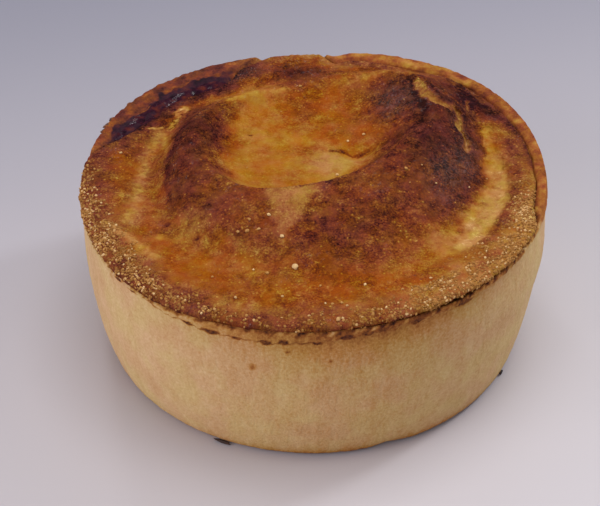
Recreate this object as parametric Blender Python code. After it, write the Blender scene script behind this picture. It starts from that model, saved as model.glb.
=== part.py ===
"""A baked scotch pie: a raised pastry case, its domed lid with a sunken middle, and the gravy that boiled out
between them.

Lengths in this file are in millimetres and angles in degrees until a mesh is made, which is in metres.
Angles run anticlockwise from +X, seen from above. +Z is up, and the pie stands on z = 0.
"""
import math

import bmesh
import bpy
from mathutils import Vector, noise

MM = 0.001

# Overall form
RIM_RADIUS = 44.7
WALL_HEIGHT = 34.5          # height of the seam between case and lid, at the middle of the pie
RIM_SLOPE_X = 0.028         # the rim plane rises to +X and to +Y, because the pie rose unevenly
RIM_SLOPE_Y = 0.048
WALL_DRAFT = 2.7            # how much the wall draws in to its foot
WALL_BELLY = 0.45           # how much it swells at half height
BASE_ROUND = 0.035          # share of the radius and of the height that the foot's round corner takes
# Swells and flats of the rim: direction, half width, radius added
RIM_SWELLS = ((38, 26, 1.2), (93, 24, -2.1), (146, 26, 0.9), (228, 22, 0.7), (283, 34, -0.5))

# Lid, measured from the middle of its sunken part. Each row holds the values at twelve directions,
# 30 degrees apart from +X anticlockwise: four for the right and back right, then back left, then
# left and front left, then front right.
BASIN_CENTRE = (-3.0, 9.0)
FLOOR_REACH = (13.0, 13.5, 15.0, 15.0, 14.0, 13.0, 12.5, 13.0, 14.0, 14.0, 14.5, 14.0)
CREST_REACH = (25.0, 27.5, 23.0, 18.0, 17.5, 18.5, 19.0, 20.5, 22.4, 20.8, 20.5, 22.0)
VALLEY_REACH = (37.0, 38.5, 28.0, 24.5, 22.5, 26.5, 28.5, 32.0, 38.0, 43.0, 44.0, 42.0)
CREST_RISE = (7.0, 6.6, 4.2, 2.8, 3.2, 4.2, 5.4, 5.6, 5.7, 6.2, 6.7, 7.6)
VALLEY_RISE = (0.2, 1.9, 1.6, 1.4, 0.8, 0.4, 0.0, 0.1, 0.7, 1.2, 0.8, 0.1)
EDGE_RISE = (0.8, 0.5, 0.8, 0.9, 0.9, 0.7, 1.2, 1.4, 1.4, 1.4, 1.5, 1.3)
CLIMB_POWER = (1.2, 1.2, 1.2, 1.2, 1.2, 1.3, 1.4, 1.6, 2.2, 2.6, 2.4, 1.6)
FALL_POWER = (1.4, 1.0, 1.1, 1.1, 1.0, 1.0, 1.4, 1.5, 1.2, 1.0, 1.1, 1.3)
BORDER_CLIMB = 0.7          # share of the border over which it climbs out of the valley
FLOOR_RISE = 1.5
FLOOR_DISH = 0.4
# The fold between the two lobes of the right-hand hump: ends, half width, depth
FOLD = ((10.0, 4.5), (22.0, 12.5), 2.0, 1.6)
BACK_BUMP = ((-3.0, 35.5), 5.0, 0.6)     # swelling of the border: middle, half width, height

# Meeting of lid and case
LID_OVERHANG = 0.25         # the lid stands this far over the wall where it covers the case
LID_SHOULDER = 0.9          # how far the round edge of the lid draws in at its top
LID_DEPTH = 2.2             # how far the lid's underside lies below the rim plane inside the wall
BEARING_WIDTH = 5.0         # width over which the underside comes up to the rim plane under the overhang
GAP = 0.4                   # left between pieces that lie against each other
COVERED_ARCS = ((88.0, 104.0), (169.0, 339.0))
ARC_BLEND = 11.0
# The case's own lip stands outside the lid except along COVERED_ARCS. Widths at the same twelve directions.
LIP_WIDTH = (1.9, 2.2, 3.2, 2.4, 4.4, 2.6, 1.6, 1.6, 1.6, 1.6, 1.6, 1.6)
LIP_GROOVE = 0.7
LIP_RISE = 0.9
LIP_SLOPE = 0.8
LIP_INSET = 1.3             # where a lip would begin along COVERED_ARCS
BEARING_REACH = 35.0        # radius within which the bearing is plain
SEEP_ARC = (117.0, 164.0)
SEEP_BLEND = 14.0
SEEP_WIDTH = 3.6
SEEP_RISE = 0.1
SEEP_TIP = 0.3              # width at its two ends, as a share of its full width
BEAD_BAND = (0.3, 1.6)      # depths below the rim between which the case's edge stands out under the seam
BEAD_BLEND = 0.35
BEAD_OUT = 0.35
NOTCH_ANGLE = 83.0          # where the lip's two ends meet
NOTCH_WIDTH = 3.0
NOTCH_DEPTH = 1.3
FOOT_DENT_ANGLE = 289.0
FOOT_DENT_WIDTH = 4.0
FOOT_DENT_DEPTH = 0.8
FOOT_DENT_HEIGHT = 3.0

# Crags of the crust: size across, height
LUMPS = (9.0, 0.35)
CRAGS = (3.2, 0.45)
RAGGED = (4.0, 0.2)
LIP_UNEVEN = 2.0            # the lip's crest is this many times as ragged as its sides
CRUST_SEED, CRAG_SEED, LID_SEED, LIP_SEED, CREST_SEED, GRAVY_SEED = 1.0, 5.0, 3.0, 7.0, 11.0, 17.0
CRAG_CENTRE = (27.0, 17.0)
CRAG_REACH = 14.0

# Mesh
SEGMENTS = 80
LID_ZONES = ((5, 0.0, 1.0), (6, 1.0, 2.0), (9, 2.0, 3.0), (7, 3.0, 4.0))
LID_EDGE_LEVELS = (0.75, 0.45, 0.15)
UNDER_STATIONS = (1.0, 0.975, 0.95, 0.925, 0.9, 0.87, 0.6, 0.3, 0.0)
LID_RADIUS = 4.0            # of the blank: one zone of the lid for each unit
WALL_DEPTHS = (31.0, 28.0, 24.0, 20.0, 16.0, 12.0, 8.5, 5.5, 3.4, 2.1, 1.6, 1.0, 0.4)
CASE_ZONES = 4.0
CASE_STATIONS = (0.25, 0.6, 1.0, 1.5, 2.0, 2.12, 2.25, 2.4, 2.6, 3.0, 3.5, 4.0)
TOP_MARK = 2.0              # height on the blank of the case's top
SEEP_STEPS = 26
SEEP_SIDES = 10


def smooth(t):
    """Ease from 0 at t = 0 to 1 at t = 1."""
    t = min(max(t, 0.0), 1.0)
    return t * t * (3.0 - 2.0 * t)


def mix(a, b, t):
    return a + (b - a) * t


def polar(radius, angle):
    return Vector((radius * math.cos(math.radians(angle)), radius * math.sin(math.radians(angle))))


def angle_of(x, y):
    return math.degrees(math.atan2(y, x)) % 360.0


def turn_between(angle, centre):
    """Unsigned angle from one direction to another."""
    return abs((angle - centre + 180.0) % 360.0 - 180.0)


def in_arc(angle, arc, blend):
    """1 inside an arc and 0 outside it, easing over a blend that is centred on each end."""
    middle = 0.5 * (arc[0] + arc[1])
    half = 0.5 * (arc[1] - arc[0])
    return smooth((half - turn_between(angle, middle)) / blend + 0.5)


def bell(angle, centre, width):
    """Bell-shaped weight round one direction."""
    return math.exp(-(turn_between(angle, centre) / width) ** 2)


def compass(values, angle):
    """Smooth value at an angle, from values at equal steps round the circle."""
    count = len(values)
    place = angle % 360.0 / 360.0 * count
    step = int(place)
    t = place - step
    a, b, c, d = (values[(step + k) % count] for k in (-1, 0, 1, 2))
    return b + 0.5 * t * (c - a + t * (2 * a - 5 * b + 4 * c - d + t * (3 * (b - c) + d - a)))


def lumps(x, y, size_and_height, seed):
    size, height = size_and_height
    return height * noise.noise(Vector((x / size, y / size, seed)))


def ragged(angle, seed):
    """Uneven edge of torn and pressed pastry, along the rim."""
    place = polar(RIM_RADIUS, angle)
    return lumps(place.x, place.y, RAGGED, seed)


def rim_radius(angle):
    swell = sum(added * bell(angle, centre, width) for centre, width, added in RIM_SWELLS)
    return RIM_RADIUS + swell - NOTCH_DEPTH * bell(angle, NOTCH_ANGLE, NOTCH_WIDTH)


def rim_height(x, y):
    return WALL_HEIGHT + RIM_SLOPE_X * x + RIM_SLOPE_Y * y


def covered(angle):
    """1 where the lid's edge lies over the case, 0 where it is tucked inside the case's lip."""
    return max(in_arc(angle, arc, ARC_BLEND) for arc in COVERED_ARCS)


def lid_edge(angle):
    """Radius of the lid's edge."""
    tucked = compass(LIP_WIDTH, angle) + LIP_GROOVE + SEEP_WIDTH * in_arc(angle, SEEP_ARC, SEEP_BLEND)
    return rim_radius(angle) + mix(-tucked, LID_OVERHANG, covered(angle)) + ragged(angle, LID_SEED)


def lid_under(radius, angle):
    """Height of the lid's underside over the rim plane."""
    rise = smooth((radius - RIM_RADIUS + BEARING_WIDTH) / BEARING_WIDTH)
    return -LID_DEPTH * (1.0 - rise * covered(angle))


def lip_foot(angle):
    """Radius at which the case's lip begins to rise."""
    inner = rim_radius(angle) - compass(LIP_WIDTH, angle) - ragged(angle, LIP_SEED)
    return max(lid_edge(angle) + GAP, inner)


def case_top(radius, angle):
    """Height of the case's top over the rim plane: the bearing under the lid, and the lip outside it."""
    bearing = lid_under(radius, angle) - GAP
    lip = LIP_RISE + LIP_UNEVEN * ragged(angle, CREST_SEED)
    return mix(bearing, lip, smooth((radius - lip_foot(angle)) / LIP_SLOPE))


def wall_radius(share, angle):
    """Outer radius of the case at a share of its height."""
    plain = RIM_RADIUS - WALL_DRAFT * (1.0 - share) ** 3 + WALL_BELLY * math.sin(math.pi * share)
    depth = (1.0 - share) * WALL_HEIGHT
    bead = smooth((depth - BEAD_BAND[0]) / BEAD_BLEND + 0.5) * smooth((BEAD_BAND[1] - depth) / BEAD_BLEND + 0.5)
    foot = smooth(1.0 - share * WALL_HEIGHT / FOOT_DENT_HEIGHT) * bell(angle, FOOT_DENT_ANGLE, FOOT_DENT_WIDTH)
    return plain + (rim_radius(angle) - RIM_RADIUS) * share + BEAD_OUT * bead - FOOT_DENT_DEPTH * foot


def top_radius(zone, angle):
    """Radius of a point of the case's top, in the zones lip, slope, bearing under the border, and the rest."""
    outer = wall_radius(1.0, angle)
    foot = min(lip_foot(angle), outer - LIP_INSET)
    marks = (outer, foot + LIP_SLOPE, foot, BEARING_REACH, 0.0)
    step = min(int(zone), len(marks) - 2)
    return mix(marks[step], marks[step + 1], zone - step)


def case_point(inward, share, angle):
    """A point of the case from its place on the blank: share of the radius, and of the height or TOP_MARK."""
    if share == TOP_MARK:
        radius = top_radius(CASE_ZONES * (1.0 - inward), angle)
        x, y = polar(radius, angle)
        return Vector((x, y, rim_height(x, y) + case_top(radius, angle)))
    x, y = polar(wall_radius(share, angle) * inward, angle)
    return Vector((x, y, share * rim_height(x, y)))


def lid_height(zone, angle):
    """Height of the lid's top over the rim plane, in the zones floor, climb, fall and border."""
    crest = compass(CREST_RISE, angle)
    valley = compass(VALLEY_RISE, angle)
    if zone <= 1.0:
        return FLOOR_RISE - FLOOR_DISH * (1.0 - zone ** 2)
    if zone <= 2.0:
        return mix(FLOOR_RISE, crest, (zone - 1.0) ** compass(CLIMB_POWER, angle))
    if zone <= 3.0:
        fallen = 0.5 - 0.5 * math.cos(math.pi * (zone - 2.0) ** compass(FALL_POWER, angle))
        return mix(crest, valley, fallen)
    return mix(valley, compass(EDGE_RISE, angle), smooth((zone - 3.0) / BORDER_CLIMB))


def lid_place(zone, angle):
    """Where a point of the lid's top lies, seen from above."""
    centre = Vector(BASIN_CENTRE)
    reaches = (0.0, compass(FLOOR_REACH, angle), compass(CREST_REACH, angle), compass(VALLEY_REACH, angle))
    if zone < 3.0:
        step = int(zone)
        return centre + polar(mix(reaches[step], reaches[step + 1], zone - step), angle)
    valley = centre + polar(reaches[3], angle)
    around = angle_of(valley.x, valley.y)
    return valley.lerp(polar(lid_edge(around) - LID_SHOULDER, around), zone - 3.0)


def fold(x, y):
    """Depth of the fold in the right-hand hump, which fades to nothing at both ends."""
    start, end, half_width, depth = FOLD
    along = Vector(end) - Vector(start)
    offset = Vector((x, y)) - Vector(start)
    share = min(max(offset.dot(along) / along.length_squared, 0.0), 1.0)
    away = (offset - along * share).length
    return depth * math.exp(-(away / half_width) ** 2)


def crust(x, y):
    """Swelling, fold and lumps of the baked top, with rough crags on the right-hand hump."""
    centre, half_width, height = BACK_BUMP
    bump = height * math.exp(-((x - centre[0]) ** 2 + (y - centre[1]) ** 2) / half_width ** 2)
    away = math.hypot(x - CRAG_CENTRE[0], y - CRAG_CENTRE[1])
    crags = smooth(2.0 - 2.0 * away / CRAG_REACH) * lumps(x, y, CRAGS, CRAG_SEED)
    return lumps(x, y, LUMPS, CRUST_SEED) + crags + bump - fold(x, y)


def lid_point(zone, level, angle):
    """A point of the lid from its place on the blank: zone outwards, and level 1 on top to 0 underneath."""
    if level == 1.0:
        x, y = lid_place(zone, angle)
        return Vector((x, y, rim_height(x, y) + lid_height(zone, angle) + crust(x, y)))
    corner = lid_place(LID_RADIUS, angle)
    around = angle_of(corner.x, corner.y)
    bulge = LID_SHOULDER * math.sqrt(1.0 - (2.0 * level - 1.0) ** 2)
    radius = (lid_edge(around) - LID_SHOULDER + bulge) * zone / LID_RADIUS
    x, y = polar(radius, around)
    under = lid_under(radius, around)
    top = compass(EDGE_RISE, angle) + crust(x, y)
    return Vector((x, y, rim_height(x, y) + mix(under, top, level)))


def gravy_point(across, up, angle):
    """A point of the gravy strip from its round section, which shrinks away to both ends."""
    fullness = math.sqrt(in_arc(angle, SEEP_ARC, SEEP_BLEND))
    inner = lid_edge(angle) + GAP
    outer = lip_foot(angle)
    middle = 0.5 * (inner + outer)
    radius = middle + 0.5 * (outer - inner) * across * mix(SEEP_TIP, 1.0, fullness)
    x, y = polar(radius, angle)
    top = mix(0.5 * (SEEP_RISE - LID_DEPTH), SEEP_RISE, fullness) + LIP_UNEVEN * ragged(angle, GRAVY_SEED)
    level = mix(-LID_DEPTH, top, 0.5 + 0.5 * up)
    return Vector((x, y, rim_height(x, y) + level))


def turned_blank(profile, sweep=360.0, steps=SEGMENTS, closed=False):
    """Spin a profile of (radius, height) points about Z into a plain blank."""
    bm = bmesh.new()
    verts = [bm.verts.new((radius, 0.0, height)) for radius, height in profile]
    pairs = list(zip(verts, verts[1:] + verts[:1])) if closed else list(zip(verts, verts[1:]))
    edges = [bm.edges.new(pair) for pair in pairs]
    bmesh.ops.spin(bm, geom=verts + edges, axis=(0, 0, 1), angle=math.radians(sweep), steps=steps)
    bmesh.ops.remove_doubles(bm, verts=bm.verts, dist=1e-4)
    return bm


def press(bm, shape):
    """Move each point of a blank to where shape(radius, height, angle) puts it, in metres."""
    for vert in bm.verts:
        radius = round(math.hypot(vert.co.x, vert.co.y), 5)
        height = round(vert.co.z, 5)
        vert.co = shape(radius, height, angle_of(vert.co.x, vert.co.y)) * MM


def add_object(name, bm, material):
    """Close the blank's faces outwards and link it as a smooth-shaded object."""
    bmesh.ops.triangulate(bm, faces=bm.faces)
    bmesh.ops.recalc_face_normals(bm, faces=bm.faces)
    if bm.calc_volume(signed=True) < 0.0:
        bmesh.ops.reverse_faces(bm, faces=bm.faces)
    mesh = bpy.data.meshes.new(name)
    bm.to_mesh(mesh)
    bm.free()
    mesh.materials.append(material)
    mesh.shade_smooth()
    mesh.set_sharp_from_angle(angle=math.radians(50))
    obj = bpy.data.objects.new(name, mesh)
    bpy.context.collection.objects.link(obj)
    return obj


def add_material(name, colour, roughness):
    material = bpy.data.materials.new(name)
    material.use_nodes = True
    shader = material.node_tree.nodes["Principled BSDF"]
    shader.inputs["Base Color"].default_value = (*colour, 1.0)
    shader.inputs["Roughness"].default_value = roughness
    shader.inputs["Metallic"].default_value = 0.0
    return material


def add_case():
    """The case, solid with its filling: flat base, round foot, bellied wall, lip and bearing for the lid."""
    profile = [(0.0, 0.0), (0.5, 0.0), (1.0 - BASE_ROUND, 0.0)]
    for turn in (30, 60, 90):
        back = BASE_ROUND * (1.0 - math.sin(math.radians(turn)))
        profile.append((1.0 - back, BASE_ROUND * (1.0 - math.cos(math.radians(turn)))))
    profile += [(1.0, 1.0 - depth / WALL_HEIGHT) for depth in WALL_DEPTHS]
    profile += [(1.0 - zone / CASE_ZONES, TOP_MARK) for zone in CASE_STATIONS]

    bm = turned_blank(profile)
    press(bm, case_point)
    return add_object("pastry_case", bm, add_material("baked_wall", (0.42, 0.25, 0.11), 0.75))


def add_lid():
    """The lid: sunken floor, raised horseshoe ridge, valley, border, round edge and underside."""
    profile = [(0.0, 1.0)]
    for count, start, end in LID_ZONES:
        profile += [(mix(start, end, (k + 1) / count), 1.0) for k in range(count)]
    profile += [(LID_RADIUS, level) for level in LID_EDGE_LEVELS]
    profile += [(LID_RADIUS * share, 0.0) for share in UNDER_STATIONS]

    bm = turned_blank(profile)
    press(bm, lid_point)
    return add_object("pastry_lid", bm, add_material("baked_lid", (0.35, 0.13, 0.03), 0.5))


def add_gravy():
    """The strip of boiled-out gravy, baked on between the lid's edge and the case's lip."""
    section = [2.0 * math.pi * k / SEEP_SIDES for k in range(SEEP_SIDES)]
    profile = [(RIM_RADIUS + math.cos(turn), math.sin(turn)) for turn in section]
    start, end = SEEP_ARC
    bm = turned_blank(profile, end - start, SEEP_STEPS, closed=True)
    bmesh.ops.holes_fill(bm, edges=bm.edges, sides=0)

    def shape(radius, height, angle):
        return gravy_point(radius - RIM_RADIUS, height, angle + start)

    press(bm, shape)
    return add_object("gravy_seep", bm, add_material("baked_gravy", (0.03, 0.012, 0.012), 0.2))


def centre_on_axis(objects):
    """Shift the meshes together so that their common box stands centred on the origin."""
    corners = [vert.co for obj in objects for vert in obj.data.vertices]
    low_x, high_x = min(co.x for co in corners), max(co.x for co in corners)
    low_y, high_y = min(co.y for co in corners), max(co.y for co in corners)
    shift = Vector((-0.5 * (low_x + high_x), -0.5 * (low_y + high_y), 0.0))
    for obj in objects:
        for vert in obj.data.vertices:
            vert.co += shift


for old in list(bpy.data.objects):
    bpy.data.objects.remove(old)

pie = bpy.data.objects.new("pie", None)
bpy.context.collection.objects.link(pie)
pieces = [add_case(), add_lid(), add_gravy()]
centre_on_axis(pieces)
for piece in pieces:
    piece.parent = pie
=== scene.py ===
"""A baked scotch pie on a pale floor: pale raised case, browned and broken lid, and the gravy that boiled out.

Lengths are in millimetres and angles in degrees until a mesh is made, which is in metres. Angles run
anticlockwise from +X, seen from above. The rows and sizes of the main forms repeat the pie's own source.
"""
import math

import bmesh
import bpy
import numpy as np
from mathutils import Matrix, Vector, noise


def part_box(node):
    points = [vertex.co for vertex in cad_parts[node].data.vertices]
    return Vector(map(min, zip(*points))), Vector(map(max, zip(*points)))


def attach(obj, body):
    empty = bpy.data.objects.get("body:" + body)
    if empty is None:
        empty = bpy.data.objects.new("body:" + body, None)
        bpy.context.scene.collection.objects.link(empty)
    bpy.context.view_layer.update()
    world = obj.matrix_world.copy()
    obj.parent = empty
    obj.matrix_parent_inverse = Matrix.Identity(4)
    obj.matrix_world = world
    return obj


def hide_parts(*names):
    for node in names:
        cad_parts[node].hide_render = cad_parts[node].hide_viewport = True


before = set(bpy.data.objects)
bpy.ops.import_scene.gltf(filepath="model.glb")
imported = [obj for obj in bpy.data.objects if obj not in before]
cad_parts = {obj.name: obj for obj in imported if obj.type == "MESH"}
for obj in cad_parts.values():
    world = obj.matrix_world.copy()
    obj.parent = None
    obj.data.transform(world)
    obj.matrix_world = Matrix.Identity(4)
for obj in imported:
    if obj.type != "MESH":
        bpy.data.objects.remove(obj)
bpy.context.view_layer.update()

MM = 0.001

# Overall form
RIM_RADIUS = 44.7
WALL_HEIGHT = 34.5
RIM_SLOPE_X = 0.028
RIM_SLOPE_Y = 0.048
WALL_DRAFT = 2.7
WALL_BELLY = 0.45
BASE_ROUND = 0.035
RIM_SWELLS = ((38, 26, 1.2), (93, 24, -2.1), (146, 26, 0.9), (228, 22, 0.7), (283, 34, -0.5))

# Lid, measured from the middle of its sunken part. Each row holds the values at twelve directions,
# 30 degrees apart from +X anticlockwise: four for the right and back right, then back left, then
# left and front left, then front right.
BASIN_CENTRE = (-3, 9)
FLOOR_REACH = (13, 13.5, 15, 15, 14, 13, 12.5, 13, 14, 14, 14.5, 14)
CREST_REACH = (25, 27.5, 23, 18, 17.5, 18.5, 19, 20.5, 22.4, 20.8, 20.5, 22)
VALLEY_REACH = (37, 38.5, 28, 24.5, 22.5, 26.5, 28.5, 32, 38, 43, 44, 42)
CREST_RISE = (7, 6.6, 4.2, 2.8, 3.2, 4.2, 5.4, 5.6, 5.7, 6.2, 6.7, 7.6)
VALLEY_RISE = (0.2, 1.9, 1.6, 1.4, 0.8, 0.4, 0, 0.1, 0.7, 1.2, 0.8, 0.1)
EDGE_RISE = (0.8, 0.5, 0.8, 0.9, 0.9, 0.7, 1.2, 1.4, 1.4, 1.4, 1.5, 1.3)
CLIMB_POWER = (1.2, 1.2, 1.2, 1.2, 1.2, 1.3, 1.4, 1.6, 2.2, 2.6, 2.4, 1.6)
FALL_POWER = (1.4, 1, 1.1, 1.1, 1, 1, 1.4, 1.5, 1.2, 1, 1.1, 1.3)
BORDER_CLIMB = 0.7
FLOOR_RISE = 1.5
FLOOR_DISH = 0.4
FOLD = ((9, 4.5), (14.5, 8), 2.1, 1.1)
BACK_BUMP = ((-3, 35.5), 5, 0.6)

# Meeting of lid and case
LID_OVERHANG = 0.25
LID_SHOULDER = 0.9
LID_DEPTH = 2.2
BEARING_WIDTH = 5
GAP = 0.4
COVERED_ARCS = ((85, 109), (169, 339))
ARC_BLENDS = (7, 18, 11)
LIP_WIDTH = (1.9, 2.2, 3.2, 2.4, 4.4, 2.6, 1.6, 1.6, 1.6, 1.6, 1.6, 1.6)
LIP_GROOVE = 0.7
LIP_RISE = 0.9
LIP_SLOPE = 0.8
LIP_INSET = 1.3
BEARING_REACH = 35
TUCK = 0.55                 # the real lid swells this much further into the lip's groove
TUCKED_SHOULDER = 0.45      # and its edge is sharper there
GROOVE_FLOOR = 0.55         # crumbs and juice fill the groove up to this height
SEEP_ARC = (117, 164)
SEEP_BLEND = 14
SEEP_WIDTH = 3.6
SEEP_RISE = 0.1
SEEP_TIP = 0.3
BEAD_BAND = (0.3, 1.6)
BEAD_BLEND = 0.35
BEAD_OUT = 0.35
NOTCH_ANGLE = 83
NOTCH_WIDTH = 3
NOTCH_DEPTH = 1.3
FOOT_DENT_ANGLE = 289
FOOT_DENT_WIDTH = 4
FOOT_DENT_DEPTH = 0.8
FOOT_DENT_HEIGHT = 3

# Large crags of the crust: size across, height
LUMPS = (9, 0.35)
CRAGS = (3.2, 0.45)
RAGGED = (4, 0.2)
LIP_UNEVEN = 2
CRUST_SEED, CRAG_SEED, LID_SEED, LIP_SEED, CREST_SEED, GRAVY_SEED = 1, 5, 3, 7, 11, 17
CRAG_CENTRE = (27, 17)
CRAG_REACH = 14

# Fine crags, which only this file adds: size across, height
EDGE_CRUMBLE = (1.1, 0.28)
WRINKLES = (1.5, 0.14)
CREASES = (1.3, 0.3)
CREASE_TURNS = 7
BLISTERS = (0.9, 0.1)
CRACK_CRUMBS = (0.9, 0.2)
CRACK_LIPS = 0.4            # how high the crust stands up beside an open crack
GRAIN_BED = (1.1, 0.3)
WALL_WAVES = (8, 0.25)
WALL_PITS = (1.3, 0.07)
WALL_BULGE = (337, 24, 9.5, 6, 0.7)     # direction, half width, depth, half height and how far out
FOOT_CRUMBLE = (1.6, 0.3)
BEAD_CRUMBLE = (1.4, 0.5)
LIP_CRUMBLE = (1.4, 0.16)
BUBBLES = (2.6, 0.35)
SEEP_TUCK = 0.3             # how far the strip of gravy reaches into the crust on each side
TORN_LIP, LIP_EVENED = 0.8, 0.7     # how much rougher the lip is beside the gravy, and how much more even at large

# Browning, from 0 for pale dough to 1 for burnt, at the same twelve directions
MIDDLE_BAKE = 0.33
FLOOR_BAKE = (0.40, 0.46, 0.45, 0.50, 0.36, 0.31, 0.31, 0.32, 0.33, 0.32, 0.26, 0.27)
CREST_BAKE = (0.78, 0.76, 0.42, 0.50, 0.32, 0.66, 0.84, 0.60, 0.58, 0.54, 0.62, 0.72)
FALL_BAKE = (0.74, 0.74, 0.46, 0.64, 0.36, 0.72, 0.76, 0.75, 0.60, 0.57, 0.62, 0.74)
VALLEY_BAKE = (0.34, 0.74, 0.46, 0.72, 0.40, 0.56, 0.50, 0.50, 0.42, 0.44, 0.40, 0.22)
BORDER_BAKE = (0.50, 0.60, 0.42, 0.62, 0.58, 0.80, 0.54, 0.46, 0.42, 0.46, 0.40, 0.46)
EDGE_BAKE = (0.66, 0.62, 0.46, 0.40, 0.74, 0.86, 0.68, 0.60, 0.62, 0.60, 0.38, 0.32)
DRY_BORDER = (5, 2.5, 2.5, 2.5, 2.5, 2.5, 5.5, 6.5, 5.5, 5, 5.5, 6.5)   # width of the unglazed edge
# Places in the zones where the floor's colour ends and where the crest's and the fall's colours are reached
GOLD_END = (0.92, 1, 1, 1.1, 1.2, 1, 0.7, 1.25, 1.4, 1.2, 1, 0.85)
BROWN_START = (1.7, 1.8, 1.8, 1.9, 1.9, 1.9, 1.5, 1.95, 1.95, 1.9, 1.7, 1.5)
SCARP_FOOT = (2.92, 2.75, 2.6, 2.6, 2.6, 2.8, 2.5, 2.6, 2.5, 2.5, 2.56, 2.70)
VALLEY_START = (3.02, 2.97, 3, 3, 3, 3.05, 2.75, 2.85, 3, 3, 3, 2.92)
LIP_BAKE = (0.42, 0.50, 0.40, 0.56, 0.72, 0.65, 0.60, 0.60, 0.60, 0.60, 0.60, 0.50)
EDGE_FOOT_BAKE = 0.7
FOOT_TUCK = (1, 1, 1, 1, 1, 0.5, 0.1, 0.1, 0.15, 0.3, 0.8, 1)    # how far the lid's edge curls under
GROOVE_BAKE = (0.54, 0.68, 0.56, 0.46, 0.66, 0.82, 0.82, 0.80, 0.80, 0.80, 0.80, 0.80)

# Where in the zones each row is fully reached, and the row
BAKE_MARKS = ((0.8, FLOOR_BAKE), (GOLD_END, FLOOR_BAKE), (BROWN_START, CREST_BAKE), (2.2, FALL_BAKE),
              (SCARP_FOOT, FALL_BAKE), (VALLEY_START, VALLEY_BAKE), (3.45, BORDER_BAKE), (4, EDGE_BAKE))

# Patches: x, y, half lengths, turn, amount
BROWN_PATCHES = (
    (-15.5, 36, 4, 2, 0, 0.13), (1, -11.5, 2.5, 1.5, 0, 0.08), (31, -28.5, 3.5, 2.5, 40, 0.09),
    (-20, 28.5, 6, 2, 30, 0.1), (8, 39.5, 3, 1.8, 0, 0.14), (-12, -33, 4, 2.5, 0, 0.09),
    (-28, -17, 2.5, 3.8, 0, 0.12), (32.5, -9.5, 1.8, 3, -20, 0.1), (-40.5, -1, 2.2, 4.5, 0, 0.12),
    (26, 2, 4, 7, 0, 0.13), (14, 19, 4, 7, -10, 0.1), (5, -22.5, 7.5, 4, 10, 0.14), (-15, -13.5, 6, 3.5, 0, 0.1),
    (34, 20, 3.4, 6, 30, 0.36), (-20.5, 35.2, 9, 3.2, 25, 0.3), (-24.5, 32.8, 5, 3, 35, 0.42),
    (-24, 10, 2.4, 4.5, 0, 0.14), (22.5, 1, 4, 4, 0, 0.1), (-3, 33.8, 8, 2.6, 0, 0.2), (-28, 9, 3, 6, 0, 0.1),
    (-1, 6.5, 3.6, 2.2, 0, 0.14), (-16.5, 5, 2.6, 4, 0, 0.12), (-36, 17, 3.2, 3, 40, 0.4), (12, 34, 4, 4, 0, 0.22),
    (4, -33, 8, 4, 0, 0.08),
)
PALE_PATCHES = (
    (31.5, -20, 2.5, 2.5, 0, 0.1), (20, -20.5, 3, 2.5, 0, 0.09), (31, 16.5, 1.8, 2.2, 0, 0.1),
    (-16, -8, 2.5, 3, 0, 0.08), (12, 0.5, 3, 2, 0, 0.08), (4, 1.5, 4.5, 2, 0, -0.04), (24.5, -8.5, 4, 5, 0, -0.07),
    (-18.6, 22.5, 3, 4, 20, 0.12), (14.5, 10.5, 5, 3, 30, 0.12), (37.8, 13, 3, 4, 30, 0.17),
    (39.4, 5.5, 2, 4, 0, 0.1), (20, 27, 4, 3, -10, 0.18), (-13, -39.5, 6, 1.8, -8, 0.16),
    (-28.5, -19.5, 1.2, 0.9, 0, 0.3), (-22.5, -16.5, 3.4, 3, 0, 0.08), (-15, 20, 3, 2, 0, -0.08),
    (23, 28.5, 4, 3, 0, 0.18), (40.5, -15.5, 2.8, 3.6, 20, 0.42),
)
ORANGE_PATCHES = (
    (4, -33, 9, 4, 0, 1), (1, 22, 7, 6, 0, 0.7), (-22, -27, 8, 5, -35, 0.6),
)
GLOSSY_PATCHES = (
    (24.8, -8, 3.2, 6, -15, 1), (16, 18, 4, 5, 0, 0.9), (29.5, -2, 2, 3, 0, 0.9), (30, 4, 3, 8, 0, 0.4),
    (-14, 35, 6, 2, 25, 0.4),
)
# The pale triangle of dry dough on the front dome: its three corners
TRIANGLE = ((-10, -8.5), (3.2, -8.5), (-5.6, -25))
TRIANGLE_SOFT = 1.4

# Open cracks with pale crumb in them: points along them, half width, depth
PALE_CRACKS = (
    (((21.6, 22.2), (22.4, 19), (23.2, 16.2), (25, 13.8), (27.2, 13.2), (29.2, 15)), 1.05, 0.6),
    (((29.2, 15), (29.2, 11.5), (28.7, 8.4), (30.2, 6.2), (30.2, 4.2), (29.7, 2.2)), 0.75, 0.5),
    (((32, 21.2), (31.6, 17.6)), 0.35, 0.3),
)

# Lines that several finishes follow
CREASE = ((-39, -15.5), (-35, -19), (-31, -22.5), (-28.5, -25.5))
LEFT_VALLEY = ((-31.2, 14.6), (-32.2, 9.5), (-33.2, 4), (-33.6, -2), (-33.8, -9), (-34.5, -14))
FRONT_VALLEY = ((36, -6.5), (34.2, -12.5), (31.2, -18), (26.5, -23.5))
PLATE_EDGE = ((19.2, 25), (20.8, 21.5), (21.4, 17), (22.2, 12), (21.4, 7.5))
RIGHT_BORDER = ((38.8, 8), (39.2, 0), (38.8, -6), (37.6, -11.5), (35, -17), (31, -23))

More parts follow.
